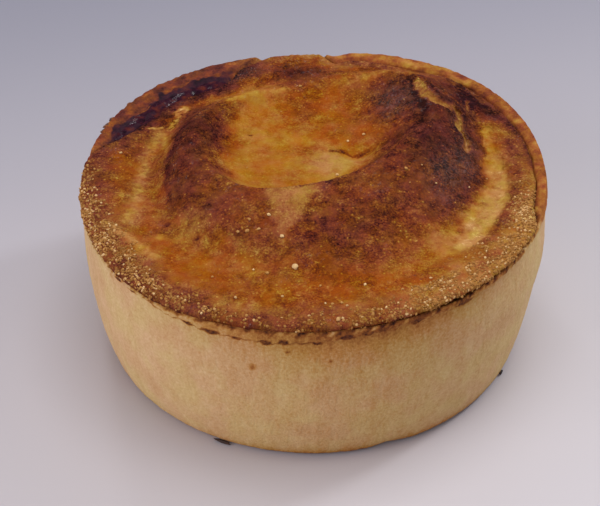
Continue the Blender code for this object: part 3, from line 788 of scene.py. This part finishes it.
def add_lid(material):
    share, angle, faces, outer = disc_grid(LID_GRID)
    torn = mix(0.25, 1, covered(angle))
    edge = crust_edge(angle) + torn * crumble(angle, EDGE_CRUMBLE, 23) * share ** 8
    x, y = polar((edge - shoulder(angle)) * share, angle)
    z, values = lid_top(x, y)
    points = [np.stack([x, y, z], 1)]

    around, rim, top = angle[outer], edge[outer], z[outer]
    level = np.linspace(1, 0, LID_SHOULDER_STEPS + 1)[1:]
    bend = shoulder(around)
    tuck = compass(FOOT_TUCK, around)
    places = [(rim - bend * (1 - math.sqrt(1 - (2 * k - 1) ** 2)) * (tuck if k < 0.5 else 1), k) for k in level]
    places += [((rim - bend) * k, 0) for k in UNDER_STATIONS]
    for radius, k in places:
        rx, ry = polar(radius, around)
        under = rim_height(rx, ry) + lid_under(radius, around)
        chips = 0.5 * torn[outer] * crumble(around + 2 * k, EDGE_CRUMBLE, 29) * (k > 0)
        points.append(np.stack([*polar(radius + chips, around), mix(under, top, k)], 1))
    rings = [len(x) + k * len(outer) for k in range(len(places))]
    first = np.stack([outer, np.roll(outer, -1), rings[0] + np.roll(np.arange(len(outer)), -1),
                      rings[0] + np.arange(len(outer))], 1)[:, ::-1]
    faces = faces + first.tolist() + [face[::-1] for face in ring_faces(rings, len(outer))]
    faces += [face[::-1] for face in fan(rings[-1] + len(outer), rings[-1], len(outer))]
    points.append([[0, 0, WALL_HEIGHT - LID_DEPTH]])

    ends = {"bake": mix(LID_EDGE_BAKE, EDGE_FOOT_BAKE, covered(around)), "glaze": 0.5, "grains": 0}
    for key in values:
        rim_value = values[key][outer]
        end = ends.get(key, rim_value)
        side = [mix(end, rim_value, smooth(k / 0.6)) + 0 * rim_value for _, k in places]
        values[key] = np.concatenate([values[key], *side, [0]])
    return add_piece("lid_crust", np.concatenate(points), faces, values, material, "pastry_lid", "pastry_lid")


# ---------------------------------------------------------------- case

def bead_end(angle):
    """Depth at which the pressed edge of the case ends under the seam: ragged, and wider at the front left."""
    return np.interp(angle, *zip(*PRESSED_DEPTHS)) + crumble(angle, BEAD_CRUMBLE, 31)


def wall_row(share, angle, inward=1):
    """One row of the wall at a share of its height, drawn inward under the base."""
    radius = wall_radius(share, angle, bead_end(angle)) * inward
    up, down = share * WALL_HEIGHT, (1 - share) * WALL_HEIGHT
    z = share * rim_height(*polar(radius, angle))
    wave = rough(RIM_RADIUS * np.radians(angle), np.full(CASE_STEPS, up), WALL_WAVES, 33)
    wave = wave * np.sin(math.pi * share) ** 0.5 if 0 < share < 1 else 0 * wave
    pits = crumble(angle, WALL_PITS, 35 + up / WALL_PITS[0])
    side, half, middle, reach, out = WALL_BULGE
    bulge = out * bell(angle, side, half) * math.exp(-((down - middle) / reach) ** 2)
    radius = radius + smooth(up / 1.5) * (wave + pits + bulge)
    if inward > 0.9:
        radius = radius - np.exp(-up / 1.2) * np.abs(crumble(angle, FOOT_CRUMBLE, 37))
    return radius, z, np.full(CASE_STEPS, down)


def top_row(radius, angle):
    """One row of the case's top: the lip, and the bearing that the lid hides."""
    x, y = polar(radius, angle)
    lip = smooth((radius - lip_foot(angle)) / LIP_SLOPE) * (1 - covered(angle))
    torn = 1 + TORN_LIP * in_arc(angle, SEEP_ARC, SEEP_BLEND)
    chips = lip * (torn * rough(x, y, LIP_CRUMBLE, 39, 2) - LIP_EVENED * LIP_UNEVEN * ragged(angle, CREST_SEED))
    return radius, rim_height(x, y) + case_top(radius, angle) + chips, np.full(len(angle), -1)


def case_rows():
    """Rows of the case from its base up over the lip to the middle: radius, height and depth at every angle."""
    angle = np.arange(CASE_STEPS) * 360 / CASE_STEPS
    rows = [wall_row(0, angle, inward) for inward in (0.5, 1 - BASE_ROUND - 0.01)]
    for turn in range(0, 91, 15):
        back, rise = (BASE_ROUND * (1 - side(math.radians(turn))) for side in (math.sin, math.cos))
        rows.append(wall_row(rise, angle, 1 - back))
    depth = WALL_HEIGHT * (1 - BASE_ROUND) - WALL_STEP
    while depth > 0.12:
        rows.append(wall_row(1 - depth / WALL_HEIGHT, angle))
        depth -= WALL_STEP if depth > WALL_FINE_DEPTH else WALL_FINE_STEP

    outer = wall_radius(1, angle)
    foot = np.minimum(lip_foot(angle), outer - LIP_INSET)
    for start, end, shares in ((outer, foot + LIP_SLOPE, np.linspace(0, 1, 9)),
                               (foot + LIP_SLOPE, foot, np.linspace(0.2, 1, 5)), (foot, BEARING_REACH, (0.1, 0.4, 1))):
        rows += [top_row(mix(start, end, share), angle) for share in shares]
    return angle, rows


def wall_tone(depth, angle):
    """Pale wall, toasted under the lid at the front, with an uneven pressed edge."""
    front = bell(angle, *FRONT)
    wall = WALL_TONE + FRONT_TONE * front + FRONT_TOAST * front * np.exp(-depth / TOAST_DEPTH)
    pressed = smooth(1.5 - depth / np.maximum(bead_end(angle), 0.3)) * in_arc(angle, PRESSED_LINE, 10)
    return wall + (PRESSED_TONE + crumble(angle + 0.5 * depth, PRESSED_MOTTLE, 42)) * pressed * (depth > 0)


def seam_share(depth, angle):
    """How much of the case is darkened along the seam under the lid's edge, down to an uneven depth: burnt crust with
    painted shade under the lid.
    """
    seam_reach = compass(SEAM_REACH, angle) + crumble(angle, (1.2, 0.8), 45)
    return smooth(1.3 - depth / np.maximum(seam_reach, 0.1)) * covered(angle) * compass(SEAM_DARK, angle)


def foot_toast(z, angle):
    reach = 0.9 + 0.6 * crumble(angle, (2.2, 1), 43) ** 2
    return np.exp(-z / reach) * (FOOT_TONES[0] + FOOT_TONES[1] * in_arc(angle, FOOT_ARC, 30))


def pressed_line(depth, angle):
    """The dark line at the end of the pressed edge, broken here and there: burnt crumb with painted shade under the
    bead's lower edge.
    """
    thick = 0.22 + np.maximum(crumble(angle, (1.7, 0.35), 46), 0)
    line = np.exp(-((depth - bead_end(angle) - 0.1) / thick) ** 2)
    return line * in_arc(angle, PRESSED_LINE, 6) * smooth(0.8 + crumble(angle, (2.6, 1.4), 47))


def lip_tone(x, y, angle):
    """Brown lip, with darker crumbs and juice in the groove inside it, and painted shade where the lid covers it."""
    inner = smooth((lip_foot(angle) + 0.6 - np.hypot(x, y)) / 0.9)
    tone = mix(compass(LIP_BAKE, angle), compass(GROOVE_BAKE, angle), inner) + rough(x, y, LIP_MOTTLE, 49, 2)
    # Darker where the lid covers the lip: painted shade under the lid.
    return mix(tone, HIDDEN_LIP_SHADE_TONE, covered(angle) ** 3)


def case_toast(x, y, z, depth, angle):
    """Browning of the case: pale wall, brown lip, burnt seam with painted shade under the lid's edge, and toasted
    foot.
    """
    on_wall = depth >= 0
    # The seam's dark band: burnt crust with painted shade under the lid's edge.
    burnt = SEAM_TONE + crumble(angle + depth, SEAM_MOTTLE, 44)
    toast = mix(wall_tone(depth, angle), burnt, seam_share(depth, angle)) + foot_toast(z, angle)
    # The pressed edge's dark line: burnt crumb with painted shade under the bead.
    toast = mix(toast, CRUMB_AND_SHADE_TONE, pressed_line(depth, angle))
    wide, deep = angle + crumble(angle + depth, (1.2, 0.8), 48), depth + crumble(angle, (0.8, 0.22), 40)
    for middle, down, half, half_depth in BURNT_CRUMBS:
        crumb = smooth(2.4 * patch(wide, deep, (middle, down), (half, 1.6 * half_depth)) - 0.3)
        toast = mix(toast, CRUMB_AND_SHADE_TONE + crumble(angle + depth, (1, 0.2), 41), crumb)
    for middle, up, size, added in WALL_SPOTS:
        toast = toast + added * patch(angle, z, (middle, up), (1.3 * size, size))
    outside = smooth(1 - depth / 2.4) * (1 - covered(angle)) * on_wall
    toast = mix(toast, compass(LIP_BAKE, angle), 0.85 * outside)
    return np.clip(np.where(on_wall, toast, lip_tone(x, y, angle)), 0, 0.9)


def add_case(material):
    angle, rows = case_rows()
    points, values = [np.zeros((1, 3))], {"bake": [[0.5]], "stain": [[0]], "glaze": [[0]]}
    for radius, z, depth in rows:
        x, y = polar(radius, angle)
        points.append(np.stack([x, y, z], 1))
        values["bake"].append(case_toast(x, y, z, depth, angle))
        values["stain"].append(gravy_stain(x, y) * (depth < 0))
        values["glaze"].append((1 - covered(angle)) * smooth(1.4 - np.maximum(depth, 0) / 2))
    points.append([[0, 0, rows[-1][1].mean()]])
    for key, inmost in (("bake", 0.9), ("stain", 0), ("glaze", 0)):
        values[key] = np.concatenate([*values[key], [inmost]])
    rings = [1 + k * CASE_STEPS for k in range(len(rows))]
    faces = ring_faces(rings, CASE_STEPS) + [face[::-1] for face in fan(0, rings[0], CASE_STEPS)]
    faces += fan(rings[-1] + CASE_STEPS, rings[-1], CASE_STEPS)
    return add_piece("case_crust", np.concatenate(points), faces, values, material, "pastry_case", "pastry_case")


# ---------------------------------------------------------------- gravy

def add_gravy(material):
    """The strip of boiled-out gravy: dark, blown up in bubbles and baked hard."""
    steps, sides = GRAVY_STEPS, GRAVY_SIDES
    angle = np.linspace(*SEEP_ARC, steps)
    turn = np.arange(sides) * 2 * math.pi / sides
    fullness = np.sqrt(in_arc(angle, SEEP_ARC, SEEP_BLEND))[:, None]
    inner, outer = crust_edge(angle)[:, None] - SEEP_TUCK, lip_foot(angle)[:, None] + SEEP_TUCK
    around = np.repeat(angle[:, None], sides, 1)
    radius = 0.5 * (inner + outer) + 0.5 * (outer - inner) * np.cos(turn) * mix(SEEP_TIP, 1, fullness)
    x, y = polar(radius, around)
    top = mix(0.5 * (SEEP_RISE - LID_DEPTH), SEEP_RISE + 0.5 - 0.1 * np.cos(turn), fullness)
    top = top + 0.4 * LIP_UNEVEN * ragged(around, GRAVY_SEED)
    level = mix(-LID_DEPTH, top, 0.5 + 0.5 * np.sin(turn))
    bubbles = np.abs(rough(x, y, BUBBLES, 51)) * smooth(np.sin(turn) + 0.2)
    z = rim_height(x, y) + level + bubbles
    points = np.stack([x, y, z], -1).reshape(-1, 3)
    rings = [k * sides for k in range(steps)]
    faces = [face[::-1] for face in ring_faces(rings, sides)]
    faces += [list(range(sides)), [(steps - 1) * sides + k for k in range(sides)][::-1]]
    stain = smooth((gravy_reach(around) + 0.4 - radius) / 0.9 + 0.5).ravel()
    return add_piece("gravy_bubbles", points, faces, {"stain": stain}, material, "gravy_seep", "gravy_seep")


# ---------------------------------------------------------------- materials

def linear(colour):
    """A colour from its 0 to 255 screen values."""
    return tuple(((c / 255 + 0.055) / 1.055) ** 2.4 if c > 10 else c / 255 / 12.92 for c in colour) + (1,)


def feed(node, inputs):
    """Join or set a node's inputs: _2 stands for its third input and Base_Color for the one of that name."""
    for key, value in inputs.items():
        socket = node.inputs[int(key[1:]) if key[1:].isdigit() else key.replace("_", " ")]
        if isinstance(value, bpy.types.NodeSocket):
            node.id_data.links.new(value, socket)
        else:
            socket.default_value = value


def add_node(tree, kind, settings=(), **inputs):
    node = tree.nodes.new(kind)
    for key, value in dict(settings).items():
        setattr(node, key, value)
    feed(node, inputs)
    return node


class Finish:
    """A material put together from uneven patterns, which run from 0 to 1, and from the pieces' own values."""

    def __init__(self, name):
        self.material = bpy.data.materials.new(name)
        self.material.use_nodes = True
        self.tree = self.material.node_tree
        self.places = self.stretched((1, 1, 1))

    def add(self, kind, settings=(), **inputs):
        return add_node(self.tree, "ShaderNode" + kind, settings, **inputs)

    def wear(self, **inputs):
        """Give the surface its colour, gloss and relief."""
        feed(self.tree.nodes["Principled BSDF"], inputs)
        return self.material

    def stretched(self, stretch):
        coords = self.add("TexCoord").outputs["Object"]
        return self.add("Mapping", Vector=coords, Scale=stretch).outputs["Vector"]

    def value(self, name):
        return self.add("Attribute", {"attribute_name": name}).outputs["Fac"]

    def grain(self, size, detail=2, roughness=0.5, stretch=None):
        """Lumps of a size in millimetres."""
        places = self.stretched(stretch) if stretch else self.places
        return self.add("TexNoise", Vector=places, Scale=1 / (size * MM), Detail=detail,
                        Roughness=roughness).outputs["Fac"]

    def clouds(self, size):
        return self.grain(size, 3, 0.6)

    def flecks(self, size):
        """Small separate dots, one here and there in cells of a size in millimetres."""
        cells = self.add("TexVoronoi", Vector=self.places, Scale=1 / (size * MM)).outputs
        return self.times(self.span(cells["Distance"], 0.12, 0.32, 1, 0), self.span(cells["Color"], 0.56, 0.66))

    def calc(self, operation, a, b=0, c=0, clamp=False):
        return self.add("Math", {"operation": operation, "use_clamp": clamp}, _0=a, _1=b, _2=c).outputs[0]

    def times(self, a, b):
        return self.calc("MULTIPLY", a, b)

    def most(self, a, b):
        return self.calc("MAXIMUM", a, b)

    def raised(self, base, pattern, amount):
        return self.calc("MULTIPLY_ADD", pattern, amount, base)

    def sway(self, base, pattern, amount):
        """The base, made to rise and fall with a pattern."""
        return self.raised(base, self.calc("SUBTRACT", pattern, 0.5), amount)

    def span(self, value, low, high, to_low=0, to_high=1):
        """An easy step from one value to another between two limits."""
        return self.add("MapRange", {"clamp": True, "interpolation_type": "SMOOTHSTEP"}, _0=value, _1=low,
                        _2=high, _3=to_low, _4=to_high).outputs[0]

    def ramp(self, value, stops):
        node = self.add("ValToRGB", Fac=value)
        ramp = node.color_ramp
        while len(ramp.elements) < len(stops):
            ramp.elements.new(1)
        for element, (place, colour) in zip(ramp.elements, stops):
            element.position, element.color = place, linear(colour)
        return node.outputs["Color"]

    def blend(self, share, a, b, kind="MIX"):
        return self.add("Mix", {"data_type": "RGBA", "blend_type": kind}, _0=share, _6=a, _7=b).outputs[2]

    def bump(self, height, depth):
        """Raise the surface by a pattern, to a depth in millimetres."""
        return self.add("Bump", Height=height, Distance=depth * MM, Strength=1).outputs["Normal"]

    def tinted(self, colour, size, low=OLIVE_TINT, high=PURPLE_TINT):
        """A colour that drifts a little between two tints from place to place."""
        return self.blend(1, colour, self.ramp(self.clouds(size), ((0.4, low), (0.6, high))), "MULTIPLY")

    def stained(self, colour):
        """A colour with the dark gravy laid over it where the stain value says, and how much of it shows."""
        lumps = self.clouds(GRAVY_LUMPS)
        share = self.span(self.sway(self.value("stain"), lumps, 0.5), 0.2, 0.75)
        return self.blend(share, colour, self.ramp(lumps, GRAVY)), share


def lid_material():
    """Egg-glazed crust, from pale dough through gold and red brown to burnt, with dry grainy places."""
    lid = Finish("browned_lid")
    bake, mottle, specks = lid.value("bake"), lid.clouds(1.7), lid.grain(0.42, 2, 0.7)
    brown = lid.calc("ADD", lid.span(bake, 0.3, 0.6, 0.35, 1), lid.span(bake, 0.1, 0.26, 0.12, 0))
    uneven = lid.times(brown, lid.span(lid.clouds(4.5), 0.38, 0.6, 0.5, 1.3))
    # The fine specks are paler where the bump raises them and darker in its hollows: painted shade in the pits, over
    # the crust's own mottling.
    smears_and_pit_shade = lid.sway(lid.sway(0, specks, -0.9), mottle, 0.75)
    tone = lid.raised(lid.sway(bake, lid.clouds(6), 0.36), smears_and_pit_shade, uneven)
    tone = lid.raised(tone, lid.flecks(0.8), lid.times(brown, -0.3))
    glaze = lid.calc("ADD", lid.sway(lid.value("glaze"), lid.clouds(3.4), 1.8), 0, clamp=True)
    colour, gravy = lid.stained(lid.tinted(lid.blend(glaze, lid.ramp(tone, DRY), lid.ramp(tone, GLAZED)), 4))
    beads = lid.span(lid.grain(0.9, 2, 0.6), 0.56, 0.66)
    wet = lid.times(lid.times(beads, lid.span(lid.grain(5, 2, 0.6), 0.5, 0.62)), lid.times(brown, 0.7))
    shine = lid.times(lid.value("shine"), lid.raised(0.9, lid.flecks(1.1), 0.7))
    relief = lid.times(lid.raised(lid.times(mottle, 1.2), specks, 0.9), uneven)
    return lid.wear(Base_Color=colour, Roughness=0.7, Specular_IOR_Level=0.02, Coat_Roughness=0.16,
                    Coat_Weight=lid.most(lid.most(wet, shine), lid.times(gravy, THIN_GRAVY_GLOSS)),
                    Normal=lid.bump(relief, 0.6), Coat_Normal=lid.bump(relief, 1.3))


def case_material():
    """Pale short dough: finely mottled and pitted, toasted where the values say."""
    case = Finish("pale_case")
    bake, mottle, specks = case.value("bake"), case.grain(1.4, 3, 0.7, (1, 1, 0.3)), case.grain(0.5, 2, 0.6)
    blotches = case.grain(3.6, 2, 0.5, (1, 1, 0.6))
    tone = case.sway(case.sway(bake, case.clouds(9), 0.1), blotches, 0.12)
    tone = case.raised(tone, case.sway(case.sway(0, mottle, 0.2), specks, 0.3), case.span(bake, 0.3, 0.6, 1, 1.6))
    pale = case.tinted(case.ramp(tone, WALL), 9, (252, 255, 240), (255, 249, 251))
    browned = case.tinted(case.blend(0.5, case.ramp(tone, GLAZED), case.ramp(tone, DRY)), 4)
    colour, gravy = case.stained(case.blend(case.value("glaze"), pale, browned))
    return case.wear(Base_Color=colour, Roughness=0.72, Specular_IOR_Level=0.1, Coat_Roughness=0.3,
                     Coat_Weight=case.times(gravy, THIN_GRAVY_GLOSS),
                     Normal=case.bump(case.raised(case.times(mottle, 0.5), specks, 0.45), 0.3))


def gravy_material():
    """Gravy boiled down to a dark glossy skin, over browned pastry."""
    strip = Finish("burnt_gravy")
    colour, gravy = strip.stained(strip.ramp(strip.clouds(1.2), ((0.35, (92, 44, 24)), (0.65, (134, 76, 36)))))
    glints = strip.span(strip.grain(3), 0.57, 0.65, 0, 0.9)
    skin = strip.bump(strip.grain(1.3), 0.7)
    return strip.wear(Base_Color=colour, Roughness=0.5, Specular_IOR_Level=0.02, Coat_Roughness=0.12,
                      Coat_Weight=strip.times(glints, gravy), Normal=skin, Coat_Normal=skin)


def grain_material():
    """Semolina grains, from pale to golden brown."""
    grains = Finish("semolina")
    return grains.wear(Base_Color=grains.ramp(grains.value("tone"), SEMOLINA), Roughness=0.8, Specular_IOR_Level=0.1)


def crumb_material(name, dark, light):
    """Baked crumbs, mottled between two browns."""
    crumb = Finish(name)
    return crumb.wear(Base_Color=crumb.ramp(crumb.grain(0.9, 2, 0.6), ((0.35, dark), (0.7, light))), Roughness=0.7)


def floor_material():
    """Matt white board with the faintest clouding, and painted shade: darker towards the back and the left."""
    board = Finish("white_board")
    across = board.add("SeparateXYZ", Vector=board.places).outputs
    back = board.sway(board.raised(across["Y"], across["X"], -0.24), board.grain(60), 0.01)
    return board.wear(Base_Color=board.ramp(board.span(back, -0.12, 0.22), BOARD_AND_PAINTED_SHADE), Roughness=0.6)


# ---------------------------------------------------------------- grains and crumbs

def grain_tree(material):
    """Geometry nodes that scatter grains over a surface, as thick as its grains value says."""
    tree = bpy.data.node_groups.new("semolina_scatter", "GeometryNodeTree")
    tree.interface.new_socket("Geometry", in_out="INPUT", socket_type="NodeSocketGeometry")
    for name, value in GRAIN_SIZES.items():
        kind = "NodeSocketInt" if name == "Seed" else "NodeSocketFloat"
        tree.interface.new_socket(name, in_out="INPUT", socket_type=kind).default_value = value
    tree.interface.new_socket("Geometry", in_out="OUTPUT", socket_type="NodeSocketGeometry")

    def add(kind, settings=(), **inputs):
        return add_node(tree, kind, settings, **inputs)

    given = add("NodeGroupInput").outputs
    cover = add("GeometryNodeInputNamedAttribute", {"data_type": "FLOAT"}, Name="grains").outputs["Attribute"]
    density = add("ShaderNodeMath", {"operation": "MULTIPLY"}, _0=cover, _1=given["Grains per square metre"])
    spots = add("GeometryNodeDistributePointsOnFaces", {"distribute_method": "RANDOM"}, Mesh=given["Geometry"],
                Density=density.outputs[0], Seed=given["Seed"])
    ball = add("GeometryNodeMeshIcoSphere", Radius=given["Grain radius"], Subdivisions=1)
    low, high = (add("ShaderNodeCombineXYZ", X=given[name], Y=given[name], Z=given[name])
                 for name in ("Least share", "Most share"))
    size = add("FunctionNodeRandomValue", {"data_type": "FLOAT_VECTOR"}, Seed=given["Seed"],
               Min=low.outputs[0], Max=high.outputs[0])
    turn = add("FunctionNodeRandomValue", {"data_type": "FLOAT_VECTOR"}, Seed=given["Seed"], Max=(FULL_TURN,) * 3)
    placed = add("GeometryNodeInstanceOnPoints", Points=spots.outputs["Points"], Instance=ball.outputs["Mesh"],
                 Rotation=turn.outputs["Value"], Scale=size.outputs["Value"])
    tone = add("FunctionNodeRandomValue", {"data_type": "FLOAT"}, Seed=given["Seed"])
    kept = add("GeometryNodeStoreNamedAttribute", {"data_type": "FLOAT", "domain": "INSTANCE"},
               Geometry=placed.outputs["Instances"], Name="tone")
    tree.links.new(next(s for s in tone.outputs if s.enabled),
                   next(s for s in kept.inputs if s.name == "Value" and s.enabled))
    whole = add("GeometryNodeRealizeInstances", Geometry=kept.outputs["Geometry"])
    coated = add("GeometryNodeSetMaterial", Geometry=whole.outputs["Geometry"], Material=material)
    add("NodeGroupOutput", Geometry=coated.outputs["Geometry"])
    return tree


def add_grains(surface, material):
    """Scatter grains over a copy of a piece and keep them as a plain mesh of their own."""
    bed = put("grain_bed", surface.data.copy())
    modifier = bed.modifiers.new("scatter", "NODES")
    modifier.node_group = tree = grain_tree(material)
    for item in tree.interface.items_tree:
        if item.in_out == "INPUT" and item.name in GRAIN_SIZES:
            modifier[item.identifier] = GRAIN_SIZES[item.name]
    bpy.context.view_layer.update()
    mesh = bpy.data.meshes.new_from_object(bed.evaluated_get(bpy.context.evaluated_depsgraph_get()))
    bpy.data.objects.remove(bed)
    mesh.name = "semolina_grains"
    mesh.shade_smooth()
    return dress(put("semolina_grains", mesh), "pastry_lid")


def lump(middle, reach, turn, seed):
    """Points and triangles of one uneven crumb, on a ball of 42 corners."""
    ball = bmesh.new()
    bmesh.ops.create_icosphere(ball, subdivisions=2, radius=1)
    points = np.array([v.co[:] for v in ball.verts])
    faces = [[v.index for v in face.verts] for face in ball.faces]
    ball.free()
    swell = [noise.noise(Vector(p) * LUMP_FINENESS + Vector((seed, 0, 0))) for p in points]
    x, y, z = (points * (1 + LUMP_SWELL * np.array(swell))[:, None] * reach).T
    c, s = math.cos(math.radians(turn)), math.sin(math.radians(turn))
    return np.stack([x * c - y * s, x * s + y * c, z], 1) + middle, faces


def add_lumps(name, lumps, material, slot):
    """One piece of many loose crumbs, given as middle, half sizes and turn."""
    points, faces, tones = [], [], []
    for seed, (middle, reach, turn) in enumerate(lumps):
        spots, sides = lump(middle, reach, turn, 3 * seed)
        faces += [[k + len(points) for k in side] for side in sides]
        points += spots.tolist()
        tones += [0.9 + 0.1 * math.sin(5 * seed)] * len(spots)
    return add_piece(name, points, faces, {"tone": tones}, material, slot)


def crumbs_on_lid():
    """Where the larger loose grains lie on the lid, with the small pale ones that are painted highlights."""
    for x, y, radius in LONE_GRAINS_AND_GLINTS:
        height = lid_top(np.array([x]), np.array([y]))[0][0]
        yield (x, y, height + 0.3 * radius), [radius * k for k in GRAIN_SHAPE], 70 * x


def crumbs_at_foot():
    """Where burnt crumbs stick out at the foot of the case."""
    for angle, out, length in FOOT_CRUMBS:
        x, y = polar(wall_radius(BASE_ROUND, angle) + out, angle)
        yield (x, y, FOOT_CRUMB_UP), (length, *FOOT_CRUMB_HALVES), angle + 90


def flakes_on_lip():
    """Where brown flakes stand off the lip at the back left."""
    for angle, down, length in LIP_FLAKES:
        x, y = polar(rim_radius(angle) + LIP_FLAKE_OUT, angle)
        yield (x, y, rim_height(x, y) + LIP_RISE - down), (length, *LIP_FLAKE_HALVES), angle + 74


# ---------------------------------------------------------------- floor, light and camera

def add_floor():
    bpy.ops.mesh.primitive_plane_add(size=FLOOR_SIZE)
    floor = bpy.context.object
    floor.name = "floor"
    floor.data.materials.append(floor_material())


def add_lights():
    world = bpy.context.scene.world = bpy.data.worlds.new("room")
    world.use_nodes = True
    feed(world.node_tree.nodes["Background"], {"Color": (*ROOM_COLOUR, 1), "Strength": ROOM_LIGHT})
    for name, place, aim, size, power, colour in LIGHTS:
        light = bpy.data.lights.new(name, "AREA")
        light.energy, light.size, light.color = power, size, colour
        lamp = put(name, light)
        lamp.location = place
        lamp.rotation_euler = (Vector(aim) - Vector(place)).to_track_quat("-Z", "Y").to_euler()


def add_camera():
    camera = put("camera", bpy.data.cameras.new("camera"))
    camera.data.lens, camera.data.sensor_width, camera.data.clip_start = CAMERA_LENS
    rise = math.radians(CAMERA_RISE)
    aim = Vector((CAMERA_AIM[0] + AXIS[0], CAMERA_AIM[1] + AXIS[1], CAMERA_AIM[2]))
    camera.location = (aim + CAMERA_AWAY * Vector((0, -math.cos(rise), math.sin(rise)))) * MM
    camera.rotation_euler = (math.pi / 2 - rise, 0, 0)
    bpy.context.scene.camera = camera


# ---------------------------------------------------------------- assembly

add_camera()
add_lights()
add_floor()
bpy.context.scene.view_settings.view_transform = "Standard"
lid = add_lid(lid_material())
add_case(case_material())
add_gravy(gravy_material())
semolina = grain_material()
add_grains(lid, semolina)
add_lumps("loose_grains_and_glints", crumbs_on_lid(), semolina, "pastry_lid")
add_lumps("burnt_foot_crumbs", crumbs_at_foot(), crumb_material("burnt_crumb", *BURNT_BROWNS), "pastry_case")
add_lumps("lip_flakes", flakes_on_lip(), crumb_material("browned_flake", *FLAKE_BROWNS), "pastry_case")
